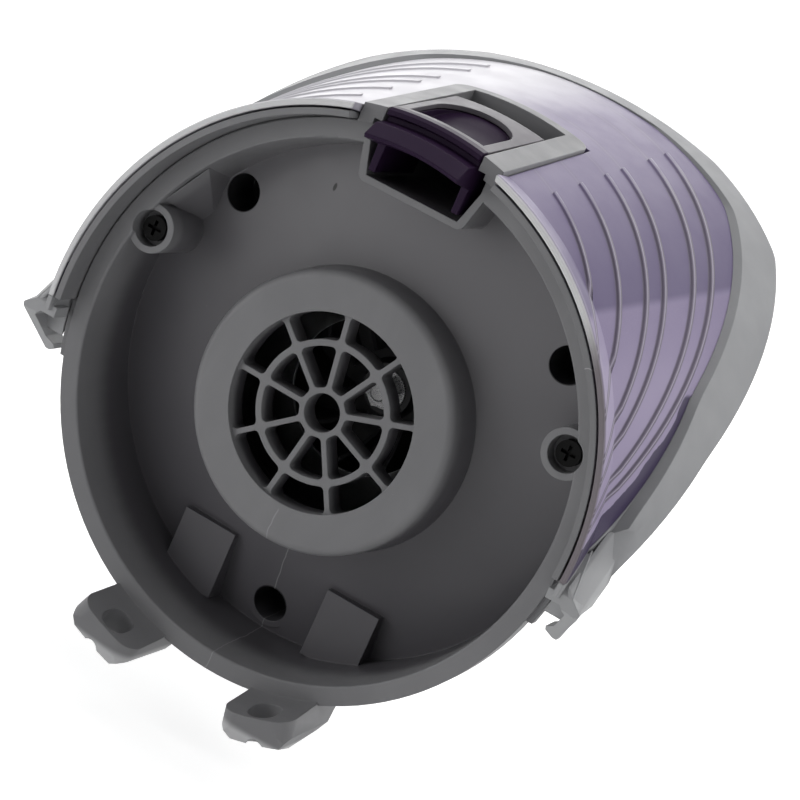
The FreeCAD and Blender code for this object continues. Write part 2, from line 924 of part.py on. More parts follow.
def build_front_housing():
    """The front moulding: rim, dish, collar, grille, sleeves, wells, trough, frame and lugs."""
    collar, grille = build_collar()
    sleeves = both_sides("sleeve", lambda name, sign: rod(
        name, dim.sleeve_radius, dim.sleeve_top, dim.sleeve_end - dim.sleeve_top,
        sign * dim.sleeve_side, dim.sleeve_up))
    gussets = both_sides("sleeve_gusset", lambda name, sign: block(
        name, sorted((sign * dim.sleeve_side, sign * (dim.sleeve_side + 4.6)), key=float),
        (7, dim.sleeve_end - 2), (dim.sleeve_up, dim.sleeve_up + 8.5)))
    well_start = floor_depth(dim.well_circle) + 0.6
    tubes = wells("well", lambda name, side, up: leaning_rod(
        name, dim.well_bore + dim.well_wall, well_start, dim.well_end - well_start, side, up))
    lugs = both_sides("lug", build_lug)
    solid = join("housing_solid", build_rim() + build_floor() + build_pads() + [collar, grille]
                 + sleeves + gussets + tubes + lugs + build_trough())

    screw_bores = both_sides("sleeve_bore", lambda name, sign: rod(
        name, dim.sleeve_bore, -5, dim.sleeve_seat + 5, sign * dim.sleeve_side, dim.sleeve_up))
    screw_holes = both_sides("sleeve_hole", lambda name, sign: rod(
        name, dim.screw_hole, 0, dim.sleeve_end + 5, sign * dim.sleeve_side, dim.sleeve_up))
    well_bores = wells("well_bore", lambda name, side, up: leaning_rod(
        name, dim.well_bore, 4, dim.well_end - dim.well_seat - 4, side, up))
    well_holes = wells("well_hole", lambda name, side, up: leaning_rod(
        name, dim.screw_hole, 10, dim.well_end, side, up))
    post_rooms = both_sides("post_room", lambda name, sign: rod(
        name, dim.post_radius + dim.seat_gap, dim.sleeve_end, 2 * dim.post_radius,
        sign * dim.sleeve_side, dim.sleeve_up))
    housing = remove("housing_cut", solid, trough_cavity() + screw_bores + screw_holes
                     + well_bores + well_holes + post_rooms)
    shelf = new_body("trough_shelf")
    turn(shelf, "shelf_turning", [
        (dim.shelf_front, dim.shelf_radius - dim.shelf_thick),
        (dim.shelf_front, dim.shelf_radius),
        (dim.slot_end + 1, dim.shelf_radius),
        (dim.slot_end + 1, dim.shelf_radius - dim.shelf_thick),
    ], as_size(23))
    peg = rod("spring_peg_rod", dim.spring_peg, dim.slot_end - dim.spring_peg_length,
              dim.spring_peg_length + 0.5, 0.0, dim.spring_up)
    return piece("front_housing", join("housing_whole", [housing, shelf, peg]))


def ellipse_at(name, depth, side, up):
    """An upright ellipse round the Y axis at this depth, starting and ending at its lowest point."""
    ellipse = doc.addObject("Part::Ellipse", name)
    ellipse.Angle1 = 270
    ellipse.Angle2 = 270
    ellipse.Placement = FreeCAD.Placement(VECTOR(), FreeCAD.Rotation(AXES["X"], 90))
    bind(ellipse, "MajorRadius", side)
    bind(ellipse, "MinorRadius", up)
    ellipse.setExpression("Placement.Base.y", as_size(depth).text)
    return ellipse


def hood_form(name, side_names, grow):
    """A solid swelling form through four ellipses; grow moves its surface out or in."""
    stations = (as_size(0), dim.station_b, dim.station_c, dim.station_d)
    sections = []
    for label, station, side_name in zip("abcd", stations, side_names):
        side = dim.ring_radius + getattr(dim, side_name) + grow
        up = dim.ring_radius + dim.hood_up + station * tangent(dim.hood_rise) + grow
        sections.append(ellipse_at(f"{name}_{label}", station, side, up))
    form = doc.addObject("Part::Loft", name)
    form.Sections = sections
    form.Solid = True
    form.Ruled = False
    doc.recompute()
    return form


COVER_SIDES = ("hood_side_a", "hood_side_b", "hood_side_c", "hood_side_d")
BAND_SIDES = ("band_side_a", "band_side_b", "band_side_c", "band_side_d")


def side_profile(name, front, corners, rounds):
    """A prism right across the unit, bounded below and behind by a rounded side-view line."""
    body = new_body(name)
    top = as_size(110)
    end = corners[-1][0]
    extrude_across(body, name + "_pad", 100, [(front, top), (front, corners[0][1])] + corners[1:] + [(end, top)])
    for index, (corner, size) in enumerate(zip(corners[1:-1], rounds)):
        depth, height = (float(as_size(value)) for value in corner)
        dress(body, "Fillet", f"{name}_round_{index}", size,
              lambda edge: runs_along(edge, "X") and abs(edge.BoundBox.YMin - depth) < 0.05
              and abs(edge.BoundBox.ZMin - height) < 0.05)
    return body


def cover_corners(seam):
    """Side-view line of the cover's lower and rear edge, moved back by the seam."""
    return [
        (dim.hood_front, dim.cover_foot_up - 4 * seam),
        (dim.cover_heel_depth + seam, dim.cover_heel_up),
        (dim.cover_knee_depth + seam, dim.cover_knee_up),
        (dim.cover_hip_depth + seam, dim.cover_hip_up),
        (dim.cover_end + seam, dim.cover_end_up),
    ]


def rear_corners():
    """Side-view line of the hood's lower and rear edge."""
    return [
        (dim.hood_front, dim.rear_foot_up),
        (dim.rear_heel_depth, dim.rear_heel_up),
        (dim.rear_knee_depth, dim.rear_knee_up),
        (dim.rear_hip_depth, dim.rear_hip_up),
        (dim.rear_end, dim.rear_end_up),
    ]


def hood_rounds():
    return (dim.knee_round, dim.knee_round, dim.hip_round)


def latch_notch(name):
    """Room in the hood round the latch frame."""
    half = dim.frame_half + dim.seat_gap
    return block(name, (-half, half), (-10, dim.frame_end + dim.seat_gap), (40, 100))


def build_clip(name, sign):
    """A hooked clip in front of the band's foot, open towards the rim."""
    inner = dim.clip_inner
    arm_low = dim.clip_arm_top - dim.clip_arm
    points = [
        (inner, dim.clip_rise),
        (dim.clip_root, dim.clip_rise),
        (dim.clip_outer, dim.clip_shoulder + 0.8),
        (dim.clip_outer - 0.3, dim.clip_shoulder - 0.6),
        (dim.clip_heel, dim.clip_low),
        (dim.clip_heel - 1, dim.clip_low),
        (inner, dim.clip_low + 1.2),
        (inner, dim.clip_low + 2.4),
        (dim.clip_heel - 0.8, dim.clip_low + 3.6),
        (dim.clip_outer - dim.clip_arm - 0.9, arm_low - 1.6),
        (dim.clip_outer - dim.clip_arm - 2.4, arm_low),
        (inner, arm_low),
    ]
    section = new_body(name)
    extrude(section, name + "_pad", dim.clip_front, dim.clip_back - dim.clip_front,
            outlines=[[(sign * side, up) for side, up in points]])
    side = new_body(name + "_side")
    extrude_across(side, name + "_side_pad", 90, [
        (dim.clip_front, dim.clip_arm_top),
        (dim.hood_front, dim.clip_rise),
        (dim.clip_back, dim.clip_rise),
        (dim.clip_back, dim.clip_shoulder),
        (dim.clip_low_front + 2.4, dim.clip_low),
        (dim.clip_low_front, dim.clip_low),
        (dim.clip_front, dim.clip_shoulder),
    ])
    tip = block(name + "_tip", sorted((sign * dim.clip_tip, sign * (inner + 1)), key=float),
                (dim.clip_front, -dim.slide_gap), (arm_low, dim.clip_arm_top))
    return join(name, [overlap(name + "_hook", section, side), tip])


def ridge_slabs():
    """Thin upright slabs right across the unit, fanned out from one root, one for each ridge."""
    slabs = []
    half = dim.ridge_width / 2
    fan = (dim.ridge_first, dim.ridge_second, dim.ridge_third, dim.ridge_fourth, dim.ridge_fifth,
           dim.ridge_sixth)
    for index, angle in enumerate(fan, start=1):
        along = (cosine(angle), sine(angle))
        across = (-along[1] * half, along[0] * half)
        start, end = as_size(90), as_size(240)
        corners = [(dim.ridge_root_depth + along[0] * reach + across[0] * side,
                    dim.ridge_root_up + along[1] * reach + across[1] * side)
                   for reach, side in ((start, 1), (end, 1), (end, -1), (start, -1))]
        slab = new_body(f"ridge_{index}")
        extrude_across(slab, f"ridge_{index}_pad", 100, corners)
        slabs.append(slab)
    return slabs


def build_hood():
    """Light grey shell with its band, clips and screw posts, and the purple cover over it."""
    cover_outer = hood_form("cover_outer", COVER_SIDES, as_size(0))
    cover_inner = hood_form("cover_inner", COVER_SIDES, -dim.cover_wall)
    carrier_outer = hood_form("carrier_outer", COVER_SIDES, -(dim.cover_wall + dim.cover_gap))
    carrier_inner = hood_form("carrier_inner", COVER_SIDES, -(dim.cover_wall + dim.cover_gap + dim.hood_wall))
    band_outer = hood_form("band_outer", BAND_SIDES, dim.band_proud)
    band_sides = side_profile("rear_side", dim.hood_front, rear_corners(), hood_rounds())
    carrier_sides = side_profile("carrier_side", dim.hood_setback, rear_corners(), hood_rounds())
    cover_sides = side_profile("cover_side", dim.hood_front, cover_corners(as_size(0)), hood_rounds())
    seam_sides = side_profile("seam_side", dim.hood_front - 0.5, cover_corners(dim.hood_seam), hood_rounds())

    smooth_top = block("smooth_top", (-dim.ridge_side, dim.ridge_side), (-10, 200), (0, 120))
    raised = overlap("cover_ridges", hood_form("ridge_tops", COVER_SIDES, dim.ridge_proud),
                     remove("ridge_lines", overlap("ridge_fan", join("ridge_slabs", ridge_slabs()), cover_sides),
                            [smooth_top]))
    body = overlap("cover_body", cover_outer, cover_sides)
    cover = remove("cover_shell", join("cover_ridged", [body, raised]),
                   [cover_inner, latch_notch("cover_notch")])
    piece("hood_cover", cover)

    band = overlap("band_strip", band_outer, remove("band_sides", band_sides, [seam_sides]))
    carrier = overlap("carrier_body", carrier_outer, carrier_sides)
    half_rib = dim.post_rib / 2
    behind_dish = dim.dish_depth + dim.seat_gap
    clear = dim.screw_shank + dim.thread_gap + 0.6
    posts = both_sides("hood_post", lambda name, sign: remove(name + "_drilled", rod(
        name, dim.post_radius, dim.sleeve_end, dim.post_end - dim.sleeve_end,
        sign * dim.sleeve_side, dim.sleeve_up), [rod(
            name + "_pilot", dim.screw_shank + dim.thread_gap, dim.sleeve_end - 1,
            dim.post_pilot_end - dim.sleeve_end, sign * dim.sleeve_side, dim.sleeve_up)]))
    ribs = both_sides("hood_rib", lambda name, sign: block(
        name, (sign * dim.sleeve_side - half_rib, sign * dim.sleeve_side + half_rib),
        (behind_dish, behind_dish + dim.post_web), (dim.sleeve_up + clear, dim.sleeve_up + 40)))
    bars = both_sides("hood_bar", lambda name, sign: block(
        name, sorted((sign * (dim.sleeve_side + clear), sign * (dim.sleeve_side + 30)), key=float),
        (behind_dish, behind_dish + dim.post_web), (dim.sleeve_up - half_rib, dim.sleeve_up + half_rib)))
    inside = overlap("trimmed_ribs", join("hood_ribs", ribs + bars), carrier_outer)
    room = rod("rim_room", dim.ring_radius + dim.rim_width + dim.flange_proud + dim.seat_gap,
               -20, dim.hood_setback + 20)
    shell = remove("hood_hollow", join("hood_skin", [band, carrier]),
                   [carrier_inner, room, latch_notch("shell_notch")])
    cover_room = overlap("cover_room", hood_form("cover_swell", COVER_SIDES, dim.cover_gap), seam_sides)
    clips = both_sides("clip", lambda name, sign: remove(name + "_trimmed", build_clip(name, sign), [cover_room]))
    piece("hood_shell", join("hood_whole", [shell, inside] + posts + clips))


def latch_top_at(depth):
    return dim.latch_top + (dim.latch_front + depth) * tangent(dim.latch_slope)


def upright_cylinder(name, radius, depth, start, length):
    """A cylinder standing on the middle plane at this depth."""
    cylinder = doc.addObject("Part::Cylinder", name)
    bind(cylinder, "Radius", radius)
    bind(cylinder, "Height", length)
    cylinder.setExpression("Placement.Base.y", as_size(depth).text)
    cylinder.setExpression("Placement.Base.z", as_size(start).text)
    return cylinder


def recess_plan(name):
    """Plan of the finger recess: straight at the ridge and round at the back."""
    low = dim.recess_floor - 2
    straight = block(name + "_straight", (-dim.recess_half, dim.recess_half),
                     (dim.recess_front, dim.recess_middle), (low, low + 20))
    arch = upright_cylinder(name + "_arch", dim.recess_half, dim.recess_middle, low, 20)
    return join(name, [straight, arch])


def build_latch():
    """Sprung release latch: slider with lip, ridge, wings and tongues, the plate on it, and its spring."""
    step = dim.ridge_back
    lower = dim.plate_thick + dim.seat_gap
    under = dim.shelf_radius + dim.slide_gap
    body = new_body("latch_body_form")
    turn(body, "latch_turning", [
        (-dim.latch_front, dim.latch_top - 1.5),
        (-dim.latch_front, dim.latch_top - 0.5),
        (-dim.latch_front + 0.9, dim.latch_top + 0.15),
        (step, latch_top_at(step)),
        (step, latch_top_at(step) - lower),
        (dim.latch_tail, latch_top_at(dim.latch_tail) - lower),
        (dim.latch_tail, under),
        (dim.latch_body, under),
        (dim.latch_body, dim.latch_low),
        (-2, dim.latch_low),
        (-dim.lip_reach + 0.6, dim.lip_low - 0.8),
        (-dim.lip_reach, dim.lip_low),
        (-dim.lip_reach + 3.4, dim.lip_high),
        (-dim.latch_front + 1.3, dim.lip_high + 0.3),
        (-dim.latch_front + 1.5, dim.latch_top - 1.9),
    ], as_size(30))
    width = block("latch_width", (-dim.latch_half, dim.latch_half), (-20, 40), (50, 80))
    wings = []
    for name, sign in (("left", -1), ("right", 1)):
        wing = new_body(f"wing_{name}")
        extrude(wing, f"wing_{name}_pad", dim.wing_front, dim.wing_back - dim.wing_front, outlines=[[
            (sign * (dim.wing_half - dim.wing_wall), dim.wing_low),
            (sign * dim.wing_half, dim.wing_low),
            (sign * dim.latch_half, dim.latch_low + 1),
            (sign * (dim.latch_half - dim.wing_wall - 0.4), dim.latch_low + 1),
        ]])
        wings.append(wing)
    tongues = block("latch_tongues", (-dim.tongue_half, dim.tongue_half),
                    (dim.tongue_front, dim.wing_back), (dim.latch_low + 0.2, dim.tongue_top))
    scoop = new_body("scoop")
    turn(scoop, "scoop_turning", [
        (0, dim.recess_floor - 0.5),
        (dim.recess_middle + 2, dim.recess_floor + 3.4),
        (dim.recess_middle + dim.recess_half + 2, dim.recess_floor_back + 0.4),
        (dim.recess_middle + dim.recess_half + 2, 90),
        (0, 90),
    ], as_size(40))
    recess = overlap("recess", recess_plan("recess_plan"), scoop)
    pocket_front = dim.latch_body - dim.spring_pocket
    pocket = rod("spring_pocket_hole", dim.spring_coil + dim.spring_wire + 0.4, pocket_front,
                 dim.spring_pocket + 3, 0.0, dim.spring_up)
    slider = join("slider_solid", [overlap("slider_form", body, width), tongues] + wings)
    piece("latch_slider", remove("slider_cut", slider, [recess, pocket]))

    plate = new_body("plate_form")
    turn(plate, "plate_turning", [
        (step + 0.1, latch_top_at(step) - dim.plate_thick),
        (step + 0.1, latch_top_at(step) - 0.1),
        (dim.latch_tail, latch_top_at(dim.latch_tail)),
        (dim.latch_tail, latch_top_at(dim.latch_tail) - dim.plate_thick),
    ], as_size(30))
    plate_width = block("plate_width", (-dim.latch_half, dim.latch_half), (-20, 40), (50, 80))
    piece("latch_plate", remove("plate_cut", overlap("plate_trim", plate, plate_width),
                                [recess_plan("plate_recess")]))

    spring_length = dim.slot_end - pocket_front
    turned = FreeCAD.Rotation(AXES["X"], -90)
    helix = doc.addObject("Part::Helix", "spring_line")
    bind(helix, "Radius", dim.spring_coil)
    bind(helix, "Height", spring_length - 2 * dim.spring_wire)
    bind(helix, "Pitch", (spring_length - 2 * dim.spring_wire) / dim.spring_turns)
    wire = doc.addObject("Part::Circle", "spring_section")
    bind(wire, "Radius", dim.spring_wire)
    start = pocket_front + dim.spring_wire
    helix.Placement = FreeCAD.Placement(VECTOR(), turned)
    wire.Placement = FreeCAD.Placement(VECTOR(), FreeCAD.Rotation(AXES["X"], 0))
    for item in (helix, wire):
        item.setExpression("Placement.Base.y", start.text)
        item.setExpression("Placement.Base.z", dim.spring_up.text)
    wire.setExpression("Placement.Base.x", dim.spring_coil.text)
    sweep = doc.addObject("Part::Sweep", "latch_spring_wire")
    sweep.Sections = [wire]
    sweep.Spine = (helix, ["Edge1"])
    sweep.Solid = True
    sweep.Frenet = True
    doc.recompute()
    piece("latch_spring", sweep)


def build_screw(node, side, up, seat, length):
    """A pan head screw along Y, with a cross recess; seat is the depth under its head."""
    top = seat - dim.screw_head_depth
    arm = dim.screw_head * 0.6
    thin = dim.screw_slot / 2
    body = new_body(node + "_form")
    extrude(body, node + "_head", top, dim.screw_head_depth, circles=[((side, up), dim.screw_head)])
    extrude(body, node + "_shank", seat, length, circles=[((side, up), dim.screw_shank)])
    cross = [(thin, arm), (thin, thin), (arm, thin), (arm, -thin), (thin, -thin), (thin, -arm),
             (-thin, -arm), (-thin, -thin), (-arm, -thin), (-arm, thin), (-thin, thin), (-thin, arm)]
    extrude(body, node + "_cross", top, dim.screw_slot_depth,
            outlines=[[(side + u, up + v) for u, v in cross]], kind="PartDesign::Pocket")
    return piece(node, body)


def build_screws():
    both_sides("hood_screw", lambda name, sign: build_screw(
        name, sign * dim.sleeve_side, dim.sleeve_up, dim.sleeve_seat, dim.screw_length))
    wells("motor_screw", lambda name, side, up: lean(build_screw(
        name, side, up, dim.well_end - dim.well_seat, dim.motor_screw_length)))


def spoke(start, end, angle, half):
    """A radial bar's outline in X and Z between two radii, at an angle from the top."""
    along = (sine(angle), cosine(angle))
    across = (along[1], -along[0])
    return [(along[0] * r + across[0] * w, along[1] * r + across[1] * w)
            for r, w in ((start, half), (end, half), (end, -half), (start, -half))]


def swept_blade(inner, outer, sweep, thick, steps=5):
    """A curved blade's outline in X and Z that leans back by the sweep angle as it goes out."""
    front = []
    back = []
    for i in range(steps + 1):
        share = i / steps
        radius = inner + (outer - inner) * share
        angle = sweep * (share ** 0.8)
        front.append((radius * sine(angle), radius * cosine(angle)))
        skew = angle + thick / radius * 57.3
        back.append((radius * sine(skew), radius * cosine(skew)))
    return front + back[::-1]


def build_fan():
    """Seal, fan cover, impeller with its nut and washer, and the diffuser behind it."""
    shoulder = dim.fan_cover_shoulder
    piece("motor_seal", motor_axis_body("motor_seal_form", [
        (dim.land_depth, dim.seal_inner),
        (dim.land_depth, dim.seal_outer),
        (shoulder, dim.seal_outer),
        (shoulder, dim.seal_inner),
    ]))
    sheet_wall = dim.sheet
    outer = dim.fan_cover_radius
    piece("fan_cover", motor_axis_body("fan_cover_form", [
        (dim.eye_depth, dim.eye_radius),
        (shoulder, dim.fan_cover_bend),
        (shoulder, outer),
        (dim.fan_cover_end, outer),
        (dim.fan_cover_end, outer - sheet_wall),
        (shoulder + sheet_wall, outer - sheet_wall),
        (shoulder + sheet_wall, dim.fan_cover_bend),
        (dim.eye_depth + sheet_wall, dim.eye_radius),
    ]))
    hub_front = dim.nut_front + dim.nut_depth + dim.washer_depth
    bore = dim.shaft_radius + dim.bearing_fit
    face = dim.impeller_back - dim.impeller_plate
    body = new_body("impeller_form")
    turn(body, "impeller_hub", [
        (hub_front, bore),
        (hub_front, dim.hub_radius),
        (face - 1, dim.hub_radius + 1),
        (face, dim.hub_radius + 4),
        (face, dim.impeller_radius),
        (dim.impeller_back, dim.impeller_radius),
        (dim.impeller_back, bore),
    ])
    blade = extrude(body, "impeller_blade", dim.eye_depth, face - dim.eye_depth + 0.3, outlines=[
        swept_blade(dim.blade_root, dim.impeller_radius - 0.2, dim.blade_sweep, dim.blade_thick)])
    pattern(body, blade, "impeller_row", dim.impeller_blades)
    slope = (shoulder - dim.eye_depth) / (dim.fan_cover_bend - dim.eye_radius)
    edge = dim.eye_depth + sheet_wall + dim.impeller_gap
    turn_away(body, "impeller_front", [
        (0, 0),
        (hub_front - 0.01, 0),
        (hub_front - 0.01, dim.blade_root - 1),
        (edge, dim.eye_radius - 1.5),
        (edge + slope * (dim.impeller_radius - dim.eye_radius + 1.5), dim.impeller_radius),
        (edge + slope * (dim.impeller_radius - dim.eye_radius + 1.5), dim.impeller_radius + 10),
        (0, dim.impeller_radius + 10),
    ])
    piece("impeller", lean(body))
    piece("impeller_washer", motor_axis_body("washer_form", [
        (hub_front - dim.washer_depth, bore),
        (hub_front - dim.washer_depth, dim.washer_radius),
        (hub_front, dim.washer_radius),
        (hub_front, bore),
    ]))
    nut = new_body("nut_form")
    reach = dim.nut_across / 2 / cosine(as_size(30))
    hexagon = [(reach * sine(as_size(60 * i + 12)), reach * cosine(as_size(60 * i + 12))) for i in range(6)]
    extrude(nut, "nut_pad", dim.nut_front, dim.nut_depth, outlines=[hexagon],
            circles=[((0.0, 0.0), bore)])
    piece("impeller_nut", lean(nut))

    boss = dim.bearing_radius + dim.bearing_fit + dim.boss_wall
    rim = dim.fan_cover_radius - dim.sheet - dim.diffuser_fit
    plate_back = dim.diffuser_front + dim.diffuser_plate
    diffuser = new_body("diffuser_form")
    turn(diffuser, "diffuser_plate_turning", [
        (dim.diffuser_front, boss + 0.7),
        (dim.diffuser_front, rim),
        (plate_back, rim),
        (plate_back, boss + 0.7),
    ])
    vane = extrude(diffuser, "diffuser_vane_pad", plate_back - 0.3, dim.diffuser_vane + 0.3, outlines=[
        swept_blade(boss + 3, rim - 1, -dim.blade_sweep, dim.blade_thick)])
    pattern(diffuser, vane, "diffuser_row", dim.diffuser_vanes)
    piece("diffuser", lean(diffuser))


def magnet_outer():
    return dim.core_radius + dim.air_gap + dim.magnet_thick


def can_inner():
    return magnet_outer() + dim.seat_gap


def can_front():
    return dim.diffuser_front + dim.diffuser_plate + dim.diffuser_vane


def build_bearing(node, start):
    """A small closed ball bearing: two races with a recessed shield between them."""
    inner = dim.shaft_radius + dim.bearing_fit
    end = start + dim.bearing_depth
    race_in = inner + 1.1
    race_out = dim.bearing_radius - 1.0
    return piece(node, motor_axis_body(node + "_form", [
        (start, inner), (start, race_in), (start + 0.4, race_in), (start + 0.4, race_out),
        (start, race_out), (start, dim.bearing_radius), (end, dim.bearing_radius), (end, race_out),
        (end - 0.4, race_out), (end - 0.4, race_in), (end, race_in), (end, inner),
    ]))


def build_motor():
    """Can with its magnets, armature on the shaft, brushes and the end bracket with the rear bearing."""
    front = can_front()
    boss_front = front - dim.boss_length
    boss = dim.bearing_radius + dim.bearing_fit + dim.boss_wall
    seat = dim.bearing_radius + dim.bearing_fit
    lip = dim.shaft_radius + 1.3
    outer = can_inner() + dim.can_wall
    back = front + dim.can_depth
    can = new_body("can_form")
    turn(can, "can_turning", [
        (boss_front, lip),
        (boss_front, boss),
        (front, boss),
        (front, outer),
        (back, outer),
        (back, can_inner()),
        (front + dim.can_wall, can_inner()),
        (front + dim.can_wall, seat),
        (boss_front + dim.boss_lip, seat),
        (boss_front + dim.boss_lip, lip),
    ])
    vent = extrude(can, "can_vent", front - 0.5, dim.can_wall + 1,
                   circles=[((0.0, dim.vent_circle), dim.vent_radius)], kind="PartDesign::Pocket")
    pattern(can, vent, "can_vents", dim.vent_count)
    piece("motor_can", lean(can))
    build_bearing("front_bearing", boss_front + dim.boss_lip)

    magnet_front = dim.core_front - dim.magnet_margin
    magnet_back = dim.core_front + dim.core_length + 1
    inner = dim.core_radius + dim.air_gap
    for name, sign in (("upper", 1), ("lower", -1)):
        piece(f"magnet_{name}", motor_axis_body(f"magnet_{name}_form", [
            (magnet_front, sign * inner),
            (magnet_front, sign * magnet_outer()),
            (magnet_back, sign * magnet_outer()),
            (magnet_back, sign * inner),
        ], dim.magnet_span))

    bore = dim.shaft_radius + dim.bearing_fit
    piece("motor_shaft", motor_axis_body("shaft_form", [
        (dim.shaft_tip, 0),
        (dim.shaft_tip, dim.shaft_radius - 0.3),
        (dim.shaft_tip + 0.3, dim.shaft_radius),
        (dim.shaft_tail - 0.3, dim.shaft_radius),
        (dim.shaft_tail, dim.shaft_radius - 0.3),
        (dim.shaft_tail, 0),
    ]))
    core = new_body("core_form")
    extrude(core, "core_disc", dim.core_front, dim.core_length,
            circles=[((0.0, 0.0), dim.core_radius), ((0.0, 0.0), bore)])
    slot = extrude(core, "core_slot", dim.core_front - 1, dim.core_length + 2, outlines=[[
        (-dim.slot_mouth, dim.core_radius + 2), (dim.slot_mouth, dim.core_radius + 2),
        (dim.slot_mouth, dim.slot_rim), (dim.slot_room, dim.slot_rim - 0.8),
        (dim.slot_room, dim.slot_root), (-dim.slot_room, dim.slot_root),
        (-dim.slot_room, dim.slot_rim - 0.8), (-dim.slot_mouth, dim.slot_rim),
    ]], kind="PartDesign::Pocket")
    pattern(core, slot, "core_slot_row", dim.core_slots)
    piece("armature_core", lean(core))

    core_back = dim.core_front + dim.core_length
    heads = []
    for name, start, end in (("front", dim.core_front - dim.winding_head, dim.core_front),
                             ("back", core_back, core_back + dim.winding_head)):
        head = new_body(f"winding_{name}")
        turn(head, f"winding_{name}_turning", [
            (start, dim.winding_inner + 1), (start, dim.winding_outer - 1.2),
            (start + 0.9, dim.winding_outer), (end - 0.5, dim.winding_outer),
            (end, dim.winding_outer - 0.5), (end, dim.winding_inner), (start + 0.9, dim.winding_inner),
        ])
        heads.append(head)
    bars = new_body("winding_bars")
    gap = dim.seat_gap
    bar = [
        (-(dim.slot_room - gap), dim.slot_root + gap), (dim.slot_room - gap, dim.slot_root + gap),
        (dim.slot_room - gap, dim.slot_rim - 1), (-(dim.slot_room - gap), dim.slot_rim - 1),
    ]
    extrude(bars, "winding_bar", dim.core_front - 1, dim.core_length + 2, outlines=[bar])
    row = doc.addObject("Part::Feature", "winding_bar_row")
    step = 360.0 / float(dim.core_slots)
    copies = []
    for i in range(int(float(dim.core_slots))):
        copy = bars.Shape.copy()
        copy.rotate(VECTOR(), AXES["Y"], i * step)
        copies.append(copy)
    row.Shape = Part.makeCompound(copies)
    piece("armature_winding", lean(join("winding_whole", heads + [row])))

    front_c = dim.commutator_front
    end_c = front_c + dim.commutator_length
    commutator = new_body("commutator_form")
    turn(commutator, "commutator_turning", [
        (front_c, bore), (front_c, dim.commutator_radius + 1), (front_c + 0.9, dim.commutator_radius + 1),
        (front_c + 0.9, dim.commutator_radius), (end_c, dim.commutator_radius), (end_c, bore),
    ])
    groove = extrude(commutator, "commutator_groove", front_c - 1, dim.commutator_length + 2,
                     outlines=[spoke(dim.commutator_radius - 0.5, dim.commutator_radius + 3, as_size(0), as_size(0.25))],
                     kind="PartDesign::Pocket")
    pattern(commutator, groove, "commutator_grooves", dim.core_slots)
    piece("commutator", lean(commutator))

    plate = back + dim.bracket_depth - dim.bracket_wall
    plate_back = back + dim.bracket_depth
    boss_end = plate_back + dim.boss_length
    bracket = new_body("bracket_form")
    turn(bracket, "bracket_turning", [
        (back, outer - dim.bracket_wall), (back, outer), (plate_back, outer), (plate_back, boss),
        (boss_end, boss), (boss_end, lip), (boss_end - dim.boss_lip, lip), (boss_end - dim.boss_lip, seat),
        (plate, seat), (plate, outer - dim.bracket_wall),
    ])
    opening = extrude(bracket, "bracket_vent", plate - 0.5, dim.bracket_wall + 1, circles=[
        ((0.0, dim.vent_circle - 0.5), dim.vent_radius)], kind="PartDesign::Pocket")
    pattern(bracket, opening, "bracket_vents", dim.vent_count)
    piece("end_bracket", lean(bracket))
    build_bearing("rear_bearing", boss_end - dim.boss_lip - dim.bearing_depth)

    wide = dim.brush_width / 2
    tall = dim.brush_height / 2
    wall = dim.holder_wall
    gap = dim.slide_gap / 3
    middle = plate - wall - wide - gap
    for name, sign in (("left", -1), ("right", 1)):
        start = dim.commutator_radius + dim.brush_gap
        brush = new_body(f"brush_{name}")
        extrude(brush, f"brush_{name}_pad", middle - wide, dim.brush_width, outlines=[[
            (sign * start, -tall), (sign * (start + dim.brush_length), -tall),
            (sign * (start + dim.brush_length), tall), (sign * start, tall)]])
        piece(f"carbon_brush_{name}", lean(brush))
        holder = new_body(f"holder_{name}")
        extrude(holder, f"holder_{name}_pad", middle - wide - gap - wall, plate - middle + wide + gap + wall,
                outlines=[[
                    (sign * dim.holder_start, -tall - gap - wall), (sign * dim.holder_end, -tall - gap - wall),
                    (sign * dim.holder_end, tall + gap + wall), (sign * dim.holder_start, tall + gap + wall)]])
        extrude(holder, f"holder_{name}_room", middle - wide - gap, dim.brush_width + 2 * gap, outlines=[[
            (sign * (dim.holder_start - 1), -tall - gap), (sign * (dim.holder_end - wall), -tall - gap),
            (sign * (dim.holder_end - wall), tall + gap), (sign * (dim.holder_start - 1), tall + gap)]],
            kind="PartDesign::Pocket")
        piece(f"brush_holder_{name}", lean(holder))
        terminal = new_body(f"terminal_{name}_form")
        half = dim.terminal_thick / 2
        extrude(terminal, f"terminal_{name}_pad", plate_back, dim.terminal_length, outlines=[[
            (sign * dim.terminal_side - half, -dim.terminal_width / 2),
            (sign * dim.terminal_side + half, -dim.terminal_width / 2),
            (sign * dim.terminal_side + half, dim.terminal_width / 2),
            (sign * dim.terminal_side - half, dim.terminal_width / 2)]])
        piece(f"terminal_{name}", lean(terminal))

    piece("rear_mount", motor_axis_body("rear_mount_form", [
        (plate_back, boss + dim.bearing_fit), (plate_back, dim.mount_radius),
        (dim.cage_end, dim.mount_radius), (dim.cage_end, boss + dim.bearing_fit),
    ]))


